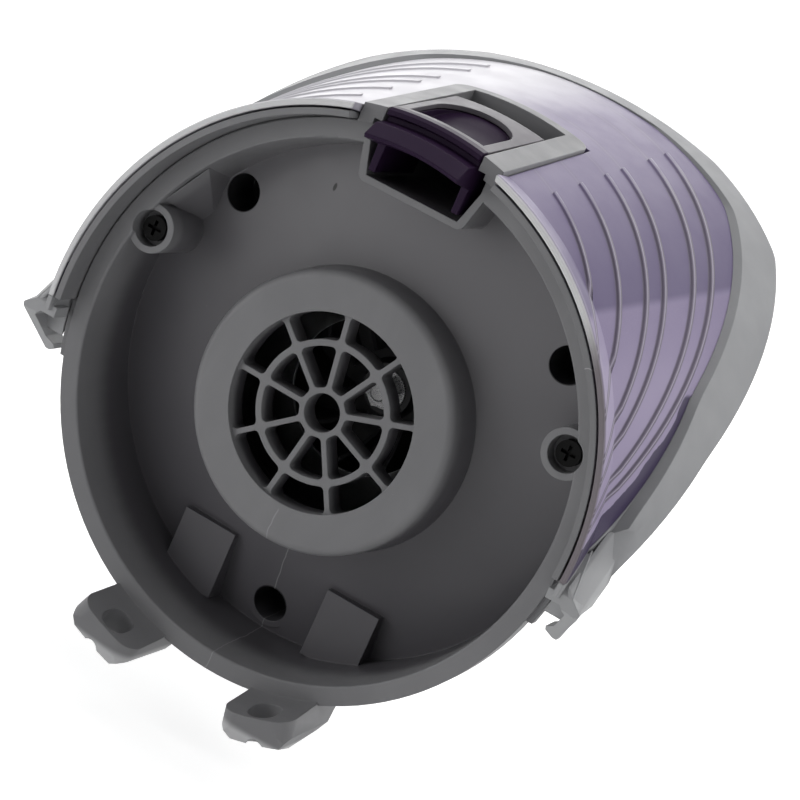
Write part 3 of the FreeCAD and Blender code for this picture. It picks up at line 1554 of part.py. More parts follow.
def build_cage():
    """Outer motor cage that bolts to the dish's wells and presses on the rear mount."""
    wall = dim.cage_wall
    outer = dim.cage_radius
    cage = new_body("cage_form")
    turn(cage, "cage_turning", [
        (dim.land_depth, outer - wall),
        (dim.land_depth, outer),
        (dim.cage_taper, outer),
        (dim.cage_end + wall, dim.cage_end_radius),
        (dim.cage_end + wall, dim.cage_hole),
        (dim.cage_end, dim.cage_hole),
        (dim.cage_end, dim.cage_end_radius - wall),
        (dim.cage_taper - 0.5, outer - wall),
    ])
    rear = extrude(cage, "cage_vent", dim.cage_end - 0.5, wall + 1, outlines=[
        spoke(dim.cage_vent_inner, dim.cage_vent_outer, as_size(0), dim.cage_vent_width / 2)],
        kind="PartDesign::Pocket")
    pattern(cage, rear, "cage_vent_row", dim.cage_vents)
    side = extrude(cage, "cage_side_vent", dim.side_vent_front, dim.side_vent_length, outlines=[
        spoke(outer - 2 * wall, outer + 2, as_size(15), dim.cage_vent_width / 2)],
        kind="PartDesign::Pocket")
    pattern(cage, side, "cage_side_row", dim.cage_vents)
    lean(cage)
    ears = wells("ear", lambda name, across, up: leaning_rod(
        name, dim.ear_radius, dim.well_end, dim.ear_length, across, up))
    webs = []
    for name, angle in (("left", -dim.well_spread), ("right", dim.well_spread), ("low", as_size(180))):
        web = new_body(f"ear_web_{name}")
        extrude(web, f"ear_web_{name}_pad", dim.well_end + 2, dim.ear_length - 2, outlines=[
            spoke(outer - wall / 2, dim.well_circle, angle, dim.ear_web)])
        webs.append(lean(web))
    pilots = wells("ear_pilot", lambda name, across, up: leaning_rod(
        name, dim.screw_shank + dim.thread_gap, dim.well_end - 1, dim.ear_length, across, up))
    piece("motor_cage", remove("cage_drilled", join("cage_solid", [cage] + ears + webs), pilots))


build_front_housing()
build_hood()
build_latch()
build_screws()
build_fan()
build_motor()
build_cage()

doc.recompute()
failed = [item.Name for item in doc.Objects if "Invalid" in item.State or "Error" in item.State]
if failed:
    raise RuntimeError(f"failed objects: {failed}")
os.makedirs("parts", exist_ok=True)
for node, thing in pieces.items():
    shape = thing.Shape
    if shape.isNull() or not shape.isValid():
        raise RuntimeError(f"{node} is not a valid shape")
    shape.exportStep(f"parts/{node}.step")
    print(node, len(shape.Solids), round(shape.Volume / 1000, 2), shape.BoundBox)
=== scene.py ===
import json
import logging
import math
from dataclasses import dataclass
from enum import Enum

import bpy
from mathutils import Matrix, Vector


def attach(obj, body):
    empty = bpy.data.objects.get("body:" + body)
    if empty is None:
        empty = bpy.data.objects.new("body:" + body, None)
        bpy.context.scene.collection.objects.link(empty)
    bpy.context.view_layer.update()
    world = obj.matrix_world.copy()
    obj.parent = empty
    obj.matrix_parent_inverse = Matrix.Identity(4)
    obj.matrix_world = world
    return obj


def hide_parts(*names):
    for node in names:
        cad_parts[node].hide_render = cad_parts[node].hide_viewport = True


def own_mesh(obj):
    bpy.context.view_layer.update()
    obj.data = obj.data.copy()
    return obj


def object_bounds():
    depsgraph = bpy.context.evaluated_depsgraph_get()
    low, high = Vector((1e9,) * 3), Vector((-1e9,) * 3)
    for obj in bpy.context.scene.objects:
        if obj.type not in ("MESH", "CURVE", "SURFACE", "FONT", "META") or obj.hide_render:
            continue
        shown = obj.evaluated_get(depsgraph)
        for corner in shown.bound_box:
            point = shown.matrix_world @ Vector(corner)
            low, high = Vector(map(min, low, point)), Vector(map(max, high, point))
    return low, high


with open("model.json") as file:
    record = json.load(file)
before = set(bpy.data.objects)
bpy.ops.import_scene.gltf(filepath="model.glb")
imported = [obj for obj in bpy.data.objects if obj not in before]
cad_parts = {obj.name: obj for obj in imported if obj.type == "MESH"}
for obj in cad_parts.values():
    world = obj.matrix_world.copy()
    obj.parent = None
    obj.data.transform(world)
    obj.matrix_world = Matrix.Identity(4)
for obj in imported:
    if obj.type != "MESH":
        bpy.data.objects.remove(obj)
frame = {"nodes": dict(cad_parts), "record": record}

MM = 0.001
LOG = logging.getLogger("vacuum_motor")
CAD_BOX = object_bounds()
Colour = tuple[float, float, float]
Direction = tuple[float, float, float]
Span = tuple[float, float]
Rise = tuple[Direction, float, float]
Socket = bpy.types.NodeSocket
Piece = bpy.types.Object
ACROSS: Direction = (1.0, 0.0, 0.0)
DEPTH: Direction = (0.0, 1.0, 0.0)
UP: Direction = (0.0, 0.0, 1.0)
SIDES = (("right", 1.0), ("left", -1.0))
SHARP_EDGE = math.radians(28.0)
SAME_POINT = 0.002 * MM


class Slot(Enum):
    """The record's material slots."""

    HOUSING = "housing"
    BAND = "band"
    COVER = "cover"
    LATCH = "latch"
    PLATE = "plate"
    SCREW = "screw"
    STEEL = "steel"
    SHEET_STEEL = "sheet_steel"
    CORE_STEEL = "core_steel"
    COPPER = "copper"
    TERMINAL = "terminal"
    FERRITE = "ferrite"
    CARBON = "carbon"
    RUBBER = "rubber"
    IMPELLER = "impeller"
    INNER_PLASTIC = "inner_plastic"


class Sheet:
    """The node tree of one material or world, drawn with short calls."""

    def __init__(self, owner: bpy.types.Material | bpy.types.World) -> None:
        """Starts an empty node tree.

        Args:
            owner: The material or world that the tree belongs to.
        """
        owner.use_nodes = True
        self.owner = owner
        self.tree = owner.node_tree
        self.tree.nodes.clear()
        self.coordinates = self.tree.nodes.new("ShaderNodeTexCoord")
        self.place = self.coordinates.outputs["Object"]

    def node(self, kind: str, **values: object) -> bpy.types.Node:
        """Adds a node and sets its properties.

        Args:
            kind: The node's type name.
            **values: Properties of the node.

        Returns:
            The new node.
        """
        made = self.tree.nodes.new(kind)
        for name, value in values.items():
            setattr(made, name, value)
        return made

    def feed(self, socket: Socket, value: object) -> None:
        """Links a socket to another, or sets it to a plain value.

        Args:
            socket: The input to feed.
            value: An output socket, a number or a colour.
        """
        if isinstance(value, Socket):
            self.tree.links.new(value, socket)
        else:
            socket.default_value = value

    def noise(self, size_mm: float, detail: float = 3.0, rough: float = 0.55,
              stretch: Direction = (1.0, 1.0, 1.0), twist: float = 0.0) -> Socket:
        """Adds a noise pattern on the object's own coordinates.

        Args:
            size_mm: About how large its blotches are, in millimetres.
            detail: How many finer layers it has.
            rough: How strong the finer layers are.
            stretch: Scale along each axis.
            twist: How much the pattern winds.

        Returns:
            A value from 0 to 1.
        """
        turned = self.node("ShaderNodeMapping")
        self.feed(turned.inputs["Vector"], self.place)
        turned.inputs["Scale"].default_value = stretch
        made = self.node("ShaderNodeTexNoise")
        self.feed(made.inputs["Vector"], turned.outputs["Vector"])
        made.inputs["Scale"].default_value = 1.0 / (size_mm * MM)
        made.inputs["Detail"].default_value = detail
        made.inputs["Roughness"].default_value = rough
        made.inputs["Distortion"].default_value = twist
        return made.outputs["Fac"]

    def ramp(self, value: Socket, low: float, high: float,
             start: float = 0.0, end: float = 1.0) -> Socket:
        """Spreads the span from low to high over the span from start to end.

        Args:
            value: What is spread.
            low: Lowest value read.
            high: Highest value read.
            start: What low becomes.
            end: What high becomes.

        Returns:
            The spread value.
        """
        made = self.node("ShaderNodeMapRange", interpolation_type="SMOOTHSTEP")
        self.feed(made.inputs["Value"], value)
        made.inputs["From Min"].default_value = low
        made.inputs["From Max"].default_value = high
        made.inputs["To Min"].default_value = start
        made.inputs["To Max"].default_value = end
        return made.outputs["Result"]

    def maths(self, operation: str, first: object, second: object) -> Socket:
        """Joins two values by one operation of the Math node.

        Args:
            operation: The node's operation, such as MULTIPLY.
            first: A socket or a number.
            second: A socket or a number.

        Returns:
            The result.
        """
        made = self.node("ShaderNodeMath", operation=operation)
        self.feed(made.inputs[0], first)
        self.feed(made.inputs[1], second)
        return made.outputs[0]

    def blend(self, share: object, first: object, second: object) -> Socket:
        """Mixes two colours.

        Args:
            share: How much of the second colour shows.
            first: A socket or a colour.
            second: A socket or a colour.

        Returns:
            The mixed colour.
        """
        made = self.node("ShaderNodeMix", data_type="RGBA")
        self.feed(made.inputs["Factor"], share)
        for name, value in (("A", first), ("B", second)):
            socket = next(s for s in made.inputs if s.name == name and s.type == "RGBA")
            self.feed(socket, (*value, 1.0) if isinstance(value, tuple) else value)
        return next(s for s in made.outputs if s.type == "RGBA")

    def bump(self, height: Socket, depth_mm: float, under: Socket) -> Socket:
        """Turns a height from 0 to 1 into a surface normal.

        Args:
            height: The pattern.
            depth_mm: How deep it is from 0 to 1, in millimetres.
            under: A normal that it is laid on.

        Returns:
            The normal.
        """
        made = self.node("ShaderNodeBump")
        made.inputs["Strength"].default_value = 1.0
        made.inputs["Distance"].default_value = depth_mm * MM
        self.feed(made.inputs["Height"], height)
        self.feed(made.inputs["Normal"], under)
        return made.outputs["Normal"]

    def rise(self, way: Rise, start: float = 0.0, end: float = 1.0) -> Socket:
        """Goes from start to end over a stretch of a direction, given by its ends in millimetres."""
        return self.ramp(self.along(way[0]), way[1], way[2], start, end)

    def along(self, direction: Direction, start_mm: float = 0.0) -> Socket:
        """Measures along a direction, in millimetres.

        Args:
            direction: The direction, of length one.
            start_mm: Where the measure is nought.

        Returns:
            The distance, below nought before the start.
        """
        made = self.node("ShaderNodeVectorMath", operation="DOT_PRODUCT")
        self.feed(made.inputs[0], self.place)
        made.inputs[1].default_value = tuple(value / MM for value in direction)
        return self.maths("SUBTRACT", made.outputs["Value"], start_mm)

    def reach(self, centre: Direction = (0.0, 0.0, 0.0), flat: Direction = (1.0, 0.0, 1.0)) -> Socket:
        """Measures the distance from a point, or from the line in depth through it, in millimetres.

        Args:
            centre: The point, in millimetres.
            flat: 1 for each axis that counts, and 0 for each that doesn't.

        Returns:
            The distance.
        """
        moved = self.node("ShaderNodeMapping")
        self.feed(moved.inputs["Vector"], self.place)
        moved.inputs["Scale"].default_value = tuple(value / MM for value in flat)
        moved.inputs["Location"].default_value = tuple(-c * value for c, value in zip(centre, flat))
        made = self.node("ShaderNodeVectorMath", operation="LENGTH")
        self.feed(made.inputs[0], moved.outputs["Vector"])
        return made.outputs["Value"]

    def near(self, value: Socket, half: float, soft: float) -> Socket:
        """Gives 1 where a value is within half of nought, and fades to 0 over soft more."""
        return self.ramp(self.maths("ABSOLUTE", value, 0.0), half, half + soft, 1.0, 0.0)

    def both(self, *shares: object) -> Socket:
        """Multiplies shares, so that each must hold.

        Args:
            *shares: Sockets or numbers from 0 to 1.

        Returns:
            The product.
        """
        total = shares[0]
        for share in shares[1:]:
            total = self.maths("MULTIPLY", total, share)
        return total

    def rounded(self, radius_mm: float) -> Socket:
        """Gives the normal of edges that are rounded to a radius.

        Args:
            radius_mm: The radius, in millimetres.

        Returns:
            The normal.
        """
        made = self.node("ShaderNodeBevel", samples=6)
        made.inputs["Radius"].default_value = radius_mm * MM
        return made.outputs["Normal"]

    def finish(self, **inputs: object) -> bpy.types.Material:
        """Ends the tree with the plain surface shader.

        Args:
            **inputs: Inputs of the shader, with _ for each space.

        Returns:
            The material.
        """
        shader = self.node("ShaderNodeBsdfPrincipled")
        for name, value in inputs.items():
            socket = shader.inputs[name.replace("_", " ")]
            if isinstance(value, tuple) and socket.type == "RGBA":
                value = (*value, 1.0)
            self.feed(socket, value)
        output = self.node("ShaderNodeOutputMaterial")
        self.tree.links.new(shader.outputs["BSDF"], output.inputs["Surface"])
        return self.owner


@dataclass(frozen=True)
class MouldedPlastic:
    """Opaque moulded plastic with a fine grain, faint flow marks and a little dust.

    Attributes:
        name: The material's name.
        colour: Colour of the plastic.
        pale: Colour of its paler flow marks.
        rough: Roughness of the surface.
        grain_mm: Size of the grain.
        grain_depth_mm: Depth of the grain.
        edge_mm: Radius of its edges.
        dust: How much pale dust lies on it, from 0 to 1.
        gloss: Specular level.
        dusty: Colour of the dust.
        flow_mm: Size of the flow marks.
        dust_mm: Size of a speck of dust, and of the patches that it lies in.
        smear_mm: Size of the duller patches.
    """

    name: str
    colour: Colour
    pale: Colour
    rough: float = 0.45
    grain_mm: float = 0.35
    grain_depth_mm: float = 0.006
    edge_mm: float = 0.35
    dust: float = 0.35
    gloss: float = 0.5
    dusty: Colour = (0.42, 0.41, 0.40)
    flow_mm: float = 26.0
    dust_mm: Span = (0.55, 11.0)
    smear_mm: float = 7.0

    def material(self) -> bpy.types.Material:
        """Draws the plastic's node tree."""
        sheet = Sheet(bpy.data.materials.new(self.name))
        flow = sheet.ramp(sheet.noise(self.flow_mm, 4.0, 0.6, (1.0, 1.0, 0.6), 0.6), 0.35, 0.75)
        colour = sheet.blend(flow, self.colour, self.pale)
        specks = sheet.ramp(sheet.noise(self.dust_mm[0], 2.0, 0.7), 0.74, 0.80)
        patches = sheet.ramp(sheet.noise(self.dust_mm[1], 3.0, 0.6), 0.42, 0.72)
        colour, rough = self.local(sheet, colour, self.rough)
        colour = sheet.blend(sheet.both(specks, patches, self.dust), colour, self.dusty)
        smear = sheet.ramp(sheet.noise(self.smear_mm, 3.0, 0.6), 0.3, 0.7, -0.04, 0.05)
        rough = sheet.maths("ADD", rough, smear)
        normal = sheet.bump(sheet.noise(self.grain_mm, 2.0, 0.5), self.grain_depth_mm,
                            sheet.rounded(self.edge_mm))
        return sheet.finish(Base_Color=colour, Roughness=rough, Normal=normal,
                            Specular_IOR_Level=self.gloss)

    def local(self, sheet: Sheet, colour: Socket, rough: object) -> tuple[Socket, object]:
        """Gives the colour and roughness where places differ. On plain plastic none does."""
        return colour, rough


@dataclass(frozen=True)
class HousingPlastic(MouldedPlastic):
    """The front moulding's plastic: glossy in the dish, with painted shade there that pales to painted
    light towards the top, matt on the rim.

    Attributes:
        dish: Colour low in the dish, darker than the rim as painted shade.
        dish_high: Colour high in the dish, paler as painted light.
        dish_rise: Direction and stretch over which it pales.
        dish_radius: Its radius, in millimetres.
        dish_fade: How far inside it the polish and the painted shade are whole.
        dish_depth: Where the polish and the painted shade start, and where they are whole.
        dish_rough: Roughness of the polish.
        well: Painted shade deep in the wells; the nick is drawn in the same dark colour.
        wells: Angle of each well round the dish, in degrees from straight up.
        well_circle: Radius that the wells are at.
        well_radius: Radius of a well.
        well_fade: How far beyond that they fade.
        well_lean: How their line rises with depth.
        lug: Painted light on the lugs' low faces, paler than the plastic.
        lug_up: Where they fade out upwards.
        weld: Colour of the moulding's weld line, straight below the grille.
        weld_size: Half its width, and how far its edge fades.
        weld_up: Where it fades out upwards.
        weld_sway: How far it strays to either side.
        nick: Place of a nick in the wall.
        nick_size: Half its width, and how far its edge fades.
        lint: Colour of a curled fibre on the rim.
        fibre: Centre of its curl.
        fibre_radius: Radius of the curl.
        fibre_size: Half its width, and how far its edge fades.
        fibre_gap: Where its curl is open.
        fibre_depth: Where the rim's face ends, and the fibre with it.
    """

    dish: Colour = (0.092, 0.089, 0.098)
    dish_high: Colour = (0.15, 0.147, 0.156)
    dish_rise: Rise = ((0.15, 0.0, 0.989), -15.0, 42.0)
    dish_radius: float = 57.4
    dish_fade: float = 0.6
    dish_depth: Rise = (DEPTH, 3.6, 6.2)
    dish_rough: float = 0.33
    well: Colour = (0.012, 0.012, 0.013)
    wells: tuple[float, ...] = (-53.8, 53.8, 180.0)
    well_circle: float = 51.5
    well_radius: float = 4.15
    well_fade: float = 0.2
    well_lean: float = 0.0875
    lug: Colour = (0.46, 0.46, 0.47)
    lug_up: Rise = (UP, -65.5, -63.5)
    weld: Colour = (0.32, 0.32, 0.33)
    weld_size: Span = (0.09, 0.08)
    weld_up: Rise = (UP, -23.5, -22.5)
    weld_sway: float = 0.3
    nick: Direction = (-21.6, 22.0, 42.5)
    nick_size: Span = (0.3, 0.2)
    lint: Colour = (0.42, 0.42, 0.42)
    fibre: Direction = (51.6, 0.0, 35.3)
    fibre_radius: float = 1.6
    fibre_size: Span = (0.05, 0.07)
    fibre_gap: Rise = ((0.6, 0.0, -0.8), 2.0, 2.8)
    fibre_depth: Rise = (DEPTH, 0.4, 0.8)

    def add_marks(self, sheet: Sheet, colour: Socket) -> Socket:
        """Darkens the wells, which little light reaches, and adds the weld line, the nick and the fibre.

        Args:
            sheet: The node tree.
            colour: The plastic's colour.

        Returns:
            The colour.
        """
        # Painted shade in each well, where little light reaches.
        for angle in self.wells:
            turn = math.radians(angle)
            across = sheet.along(ACROSS, self.well_circle * math.sin(turn))
            high = sheet.along((0.0, -self.well_lean, 1.0), self.well_circle * math.cos(turn))
            square = sheet.maths("ADD", sheet.both(across, across), sheet.both(high, high))
            apart = sheet.maths("SQRT", square, 0.0)
            share = sheet.ramp(apart, self.well_radius, self.well_radius + self.well_fade, 0.9, 0.0)
            colour = sheet.blend(share, colour, self.well)
        sway = sheet.ramp(sheet.noise(9.0), 0.3, 0.7, -self.weld_sway, self.weld_sway)
        side = sheet.maths("ADD", sheet.along(ACROSS), sway)
        weld = sheet.both(sheet.near(side, *self.weld_size), sheet.rise(self.weld_up, 1.0, 0.0), 0.5)
        colour = sheet.blend(weld, colour, self.weld)
        nick = sheet.near(sheet.reach(self.nick, (1.0, 0.0, 0.45)), *self.nick_size)
        colour = sheet.blend(nick, colour, self.well)
        away = sheet.maths("SUBTRACT", sheet.reach(self.fibre, (1.0, 0.0, 0.75)), self.fibre_radius)
        shown = sheet.both(sheet.rise(self.fibre_gap, 1.0, 0.0), sheet.rise(self.fibre_depth, 0.6, 0.0))
        return sheet.blend(sheet.both(sheet.near(away, *self.fibre_size), shown), colour, self.lint)

    def local(self, sheet: Sheet, colour: Socket, rough: object) -> tuple[Socket, object]:
        """Polishes the dish and paints shade in it that pales to painted light towards the top, pales the
        lugs' low faces as painted light and adds the marks.

        Args:
            sheet: The node tree.
            colour: The plastic's colour.
            rough: Its roughness.

        Returns:
            The colour and roughness.
        """
        within = sheet.ramp(sheet.reach(), self.dish_radius - self.dish_fade, self.dish_radius, 1.0, 0.0)
        inside = sheet.both(within, sheet.rise(self.dish_depth))
        # Painted shade in the dish, paling to painted light towards the top.
        dish_painted_shade_and_light = sheet.blend(sheet.rise(self.dish_rise), self.dish, self.dish_high)
        colour = sheet.blend(inside, colour, dish_painted_shade_and_light)
        # Painted light: the lugs' low faces are paled as if lit from below.
        colour = sheet.blend(sheet.rise(self.lug_up, 1.0, 0.0), colour, self.lug)
        return self.add_marks(sheet, colour), sheet.ramp(inside, 0.0, 1.0, rough, self.dish_rough)


@dataclass(frozen=True)
class BandPlastic(MouldedPlastic):
    """The band's plastic, painted paler on the clips as painted light on their front faces.

    Attributes:
        clip_painted_light: Painted light on the clips, paler than the band.
        clip_depth: Where the clips fade out in depth, in millimetres.
        clip_up: Where they fade out upwards.
    """

    clip_painted_light: Colour = (0.30, 0.303, 0.312)
    clip_depth: Rise = (DEPTH, 6.0, 9.0)
    clip_up: Rise = (UP, -2.0, 4.0)

    def local(self, sheet: Sheet, colour: Socket, rough: object) -> tuple[Socket, object]:
        """Pales the clips with painted light, and gives the colour and roughness."""
        # Painted light on the clips' front faces.
        clip = sheet.both(sheet.rise(self.clip_depth, 1.0, 0.0), sheet.rise(self.clip_up, 1.0, 0.0))
        return sheet.blend(clip, colour, self.clip_painted_light), rough


@dataclass(frozen=True)
class TintedCover:
    """Purple tinted plastic with a pearly underlay and a clear glossy face.

    Attributes:
        name: The material's name.
        colour: Colour of the tint.
        pale: Colour of its paler cloud.
        pearl: Colour of the fine flakes in it.
        low: Painted reflection low on the flank, paler than the tint.
        shaded: Painted shade above the soft line, darker than the tint.
        sky_up: Height of that line at the rim, in millimetres.
        sky_slope: How it rises with depth.
        glare: Painted reflection that washes out the top.
        glare_rise: Direction and stretch over which it washes out.
        deep: Darker colour of the wedge along the lower edge.
        wedge_corner: Depth and height of a point on the wedge's upper line.
        wedge_slope: The slope of that line, in degrees.
        wedge_wave: How far the line strays.
        wedge_top: Where it fades out upwards.
        wedge_side: Distances from the middle between which it starts.
        line: Painted highlight on the ridges' crests, also used along the front edge.
        line_size: Half a crest's width, and how far its edge fades.
        dip: Painted shade beside the ridges.
        dip_size: Half the width that it covers, and how far its edge fades.
        fan: Angle of each ridge's plane, in degrees.
        fan_root: Depth and height of the line where the planes meet.
        fan_side: How far from the middle the lines start to show, and show in full.
        fan_lit: Direction and stretch over which they come into the light.
        face: Colour of the cut front edge.
        face_high: Painted light higher up on the cut front edge, paler than below.
        face_rise: Direction and stretch over which it pales.
        front: Depth of the front edge.
        rough: Roughness under the clear face.
        edge_mm: Radius of its edges.
    """

    name: str
    colour: Colour
    pale: Colour
    pearl: Colour = (0.75, 0.72, 0.82)
    low: Colour = (0.27, 0.23, 0.345)
    shaded: Colour = (0.092, 0.07, 0.152)
    sky_up: float = 46.8
    sky_slope: float = 0.12
    glare: Colour = (0.55, 0.54, 0.57)
    glare_rise: Rise = ((-0.8, 0.0, 0.6), 36.0, 58.0)
    deep: Colour = (0.026, 0.017, 0.052)
    wedge_corner: Span = (1.2, 10.6)
    wedge_slope: float = 40.5
    wedge_wave: float = 0.35
    wedge_top: Rise = (UP, 34.0, 35.0)
    wedge_side: Span = (40.0, 41.0)
    line: Colour = (0.29, 0.26, 0.33)
    line_size: Span = (0.08, 0.15)
    dip: Colour = (0.10, 0.085, 0.115)
    dip_size: Span = (0.5, 0.45)
    fan: tuple[float, ...] = (51.1, 47.6, 44.5, 42.6, 39.8, 38.2)
    fan_root: Span = (-78.0, -48.0)
    fan_side: Span = (23.5, 36.0)
    fan_lit: Rise = (ACROSS, -10.0, 10.0)
    face: Colour = (0.19, 0.17, 0.185)
    face_high: Colour = (0.62, 0.62, 0.63)
    face_rise: Rise = ((-0.5, 0.0, 1.0), 10.0, 26.0)
    front: float = -6.6
    rough: float = 0.36
    edge_mm: float = 0.45

    def above(self, sheet: Sheet, corner: Span, slope: float) -> Socket:
        """Measures the distance from a straight line of the side view, in millimetres.

        Args:
            sheet: The node tree.
            corner: Depth and height of a point on the line.
            slope: The line's slope, in degrees.

        Returns:
            The distance, below nought under the line.
        """
        turn = math.radians(slope)
        across = (0.0, -math.sin(turn), math.cos(turn))
        return sheet.along(across, corner[0] * across[1] + corner[1] * across[2])

    def tint(self, sheet: Sheet) -> Socket:
        """Mixes the tint, with painted reflections, painted shade and painted highlights.

        Args:
            sheet: The node tree.

        Returns:
            The colour.
        """
        colour = sheet.blend(sheet.ramp(sheet.noise(30.0, 3.0, 0.5), 0.35, 0.7), self.colour, self.pale)
        flakes = sheet.ramp(sheet.noise(0.12, 1.0, 0.5), 0.5, 0.8, 0.0, 0.10)
        colour = sheet.blend(flakes, colour, self.pearl)
        # Painted reflection below a soft line across the flank, and painted shade just above it.
        sky = sheet.along((0.0, -self.sky_slope, 1.0), self.sky_up)
        colour = sheet.blend(sheet.ramp(sky, -16.0, -0.5, 1.0, 0.3), colour, self.low)
        shade = sheet.both(sheet.ramp(sky, -0.8, 0.8), sheet.ramp(sky, 2.0, 22.0, 1.0, 0.35))
        colour = sheet.blend(shade, colour, self.shaded)
        # Painted reflection washing out the top towards pale grey.
        colour = sheet.blend(sheet.rise(self.glare_rise, 0.0, 0.85), colour, self.glare)
        # Painted highlight along the front edge, in the crests' colour.
        bright = sheet.rise((DEPTH, self.front + 1.2, self.front + 2.4), 0.35, 0.0)
        return sheet.blend(bright, colour, self.line)

    def draw_ridges(self, sheet: Sheet, colour: Socket, side: Socket) -> Socket:
        """Paints a highlight on each ridge's crest, and painted shade in the dip beside it.

        Args:
            sheet: The node tree.
            colour: The cover's colour.
            side: Distance from the middle.

        Returns:
            The colour.
        """
        seen = sheet.both(sheet.ramp(side, *self.fan_side, 0.15, 1.0), sheet.rise(self.fan_lit, 0.0, 0.8))
        # Painted shade beside each ridge, then a painted highlight on its crest.
        for angle in self.fan:
            away = self.above(sheet, self.fan_root, angle)
            for tone, size in ((self.dip, self.dip_size), (self.line, self.line_size)):
                colour = sheet.blend(sheet.both(sheet.near(away, *size), seen), colour, tone)
        return colour

    def material(self) -> bpy.types.Material:
        """Draws the cover's node tree."""
        sheet = Sheet(bpy.data.materials.new(self.name))
        side = sheet.maths("ABSOLUTE", sheet.along(ACROSS), 0.0)
        colour = self.draw_ridges(sheet, self.tint(sheet), side)
        wave = sheet.ramp(sheet.noise(8.0), 0.3, 0.7, -self.wedge_wave, self.wedge_wave)
        away = sheet.maths("ADD", self.above(sheet, self.wedge_corner, self.wedge_slope), wave)
        wedge = sheet.both(sheet.ramp(away, -0.15, 0.15, 1.0, 0.0), sheet.ramp(side, *self.wedge_side),
                           sheet.rise(self.wedge_top, 1.0, 0.0), 0.92)
        colour = sheet.blend(wedge, colour, self.deep)
        # Painted light: the cut front edge pales higher up.
        face = sheet.blend(sheet.rise(self.face_rise), self.face, self.face_high)
        cut = sheet.rise((DEPTH, self.front + 0.05, self.front + 0.7), 1.0, 0.0)
        colour = sheet.blend(cut, colour, face)
        rough = sheet.ramp(sheet.noise(9.0, 3.0, 0.6), 0.3, 0.7, self.rough - 0.05, self.rough + 0.05)
        return sheet.finish(Base_Color=colour, Roughness=rough, Normal=sheet.rounded(self.edge_mm),
                            Specular_IOR_Level=0.13, Coat_Weight=0.06, Coat_Roughness=0.16)


@dataclass(frozen=True)
class BareMetal:
    """Metal with fine tooling lines.

    Attributes:
        name: The material's name.
        colour: Colour of the metal.
        rough: Roughness of the surface.
        line_mm: Size of the tooling lines.
        stretch: Scale of the lines along each axis.
        edge_mm: Radius of its edges.
    """

    name: str
    colour: Colour
    rough: float = 0.3
    line_mm: float = 0.2
    stretch: Direction = (1.0, 0.1, 1.0)
    edge_mm: float = 0.15

    def material(self) -> bpy.types.Material:
        """Draws the metal's node tree."""
        sheet = Sheet(bpy.data.materials.new(self.name))
        lines = sheet.noise(self.line_mm, 2.0, 0.5, self.stretch)
        cloud = sheet.ramp(sheet.noise(6.0, 3.0, 0.6), 0.3, 0.75)
        dull = tuple(0.8 * c for c in self.colour)
        colour = sheet.blend(cloud, self.colour, dull)
        rough = sheet.ramp(lines, 0.3, 0.7, self.rough - 0.06, self.rough + 0.08)
        normal = sheet.bump(lines, 0.004, sheet.rounded(self.edge_mm))
        return sheet.finish(Base_Color=colour, Roughness=rough, Metallic=1.0, Normal=normal)


FINISHES: dict[Slot, MouldedPlastic | TintedCover | BareMetal] = {
    Slot.HOUSING: HousingPlastic("housing_grey", (0.165, 0.165, 0.172), (0.188, 0.188, 0.195), 0.44,
                                 gloss=0.35),
    Slot.BAND: BandPlastic("band_grey", (0.20, 0.203, 0.212), (0.222, 0.225, 0.234), 0.46, dust=0.2),
    Slot.COVER: TintedCover("cover_purple", (0.155, 0.122, 0.225), (0.18, 0.145, 0.25)),
    Slot.LATCH: MouldedPlastic("latch_aubergine", (0.019, 0.0085, 0.027), (0.024, 0.011, 0.033), 0.42,
                               gloss=0.09),
    Slot.PLATE: MouldedPlastic("plate_silver", (0.095, 0.088, 0.10), (0.11, 0.10, 0.115), 0.42,
                               0.15, 0.004, dust=0.1, gloss=0.2),
    Slot.SCREW: BareMetal("screw_black", (0.012, 0.012, 0.012), 0.45),
    Slot.STEEL: BareMetal("bright_steel", (0.55, 0.55, 0.56), 0.28),
    Slot.SHEET_STEEL: BareMetal("zinc_plated", (0.52, 0.53, 0.54), 0.35, 2.0, (1.0, 1.0, 1.0)),
    Slot.CORE_STEEL: BareMetal("laminations", (0.30, 0.31, 0.33), 0.45, 0.5, (0.02, 1.0, 0.02)),
    Slot.COPPER: BareMetal("enamelled_copper", (0.75, 0.30, 0.12), 0.3, 0.6),
    Slot.TERMINAL: BareMetal("tinned_brass", (0.65, 0.60, 0.45), 0.35),
    Slot.FERRITE: MouldedPlastic("ferrite", (0.05, 0.05, 0.055), (0.07, 0.07, 0.075), 0.6),
    Slot.CARBON: MouldedPlastic("carbon", (0.02, 0.02, 0.02), (0.03, 0.03, 0.03), 0.7),
    Slot.RUBBER: MouldedPlastic("rubber_black", (0.02, 0.02, 0.021), (0.03, 0.03, 0.031), 0.7),
    Slot.IMPELLER: MouldedPlastic("impeller_black", (0.03, 0.03, 0.032), (0.04, 0.04, 0.042), 0.4),
    Slot.INNER_PLASTIC: MouldedPlastic("inner_black", (0.03, 0.03, 0.032), (0.04, 0.04, 0.042), 0.5),
}


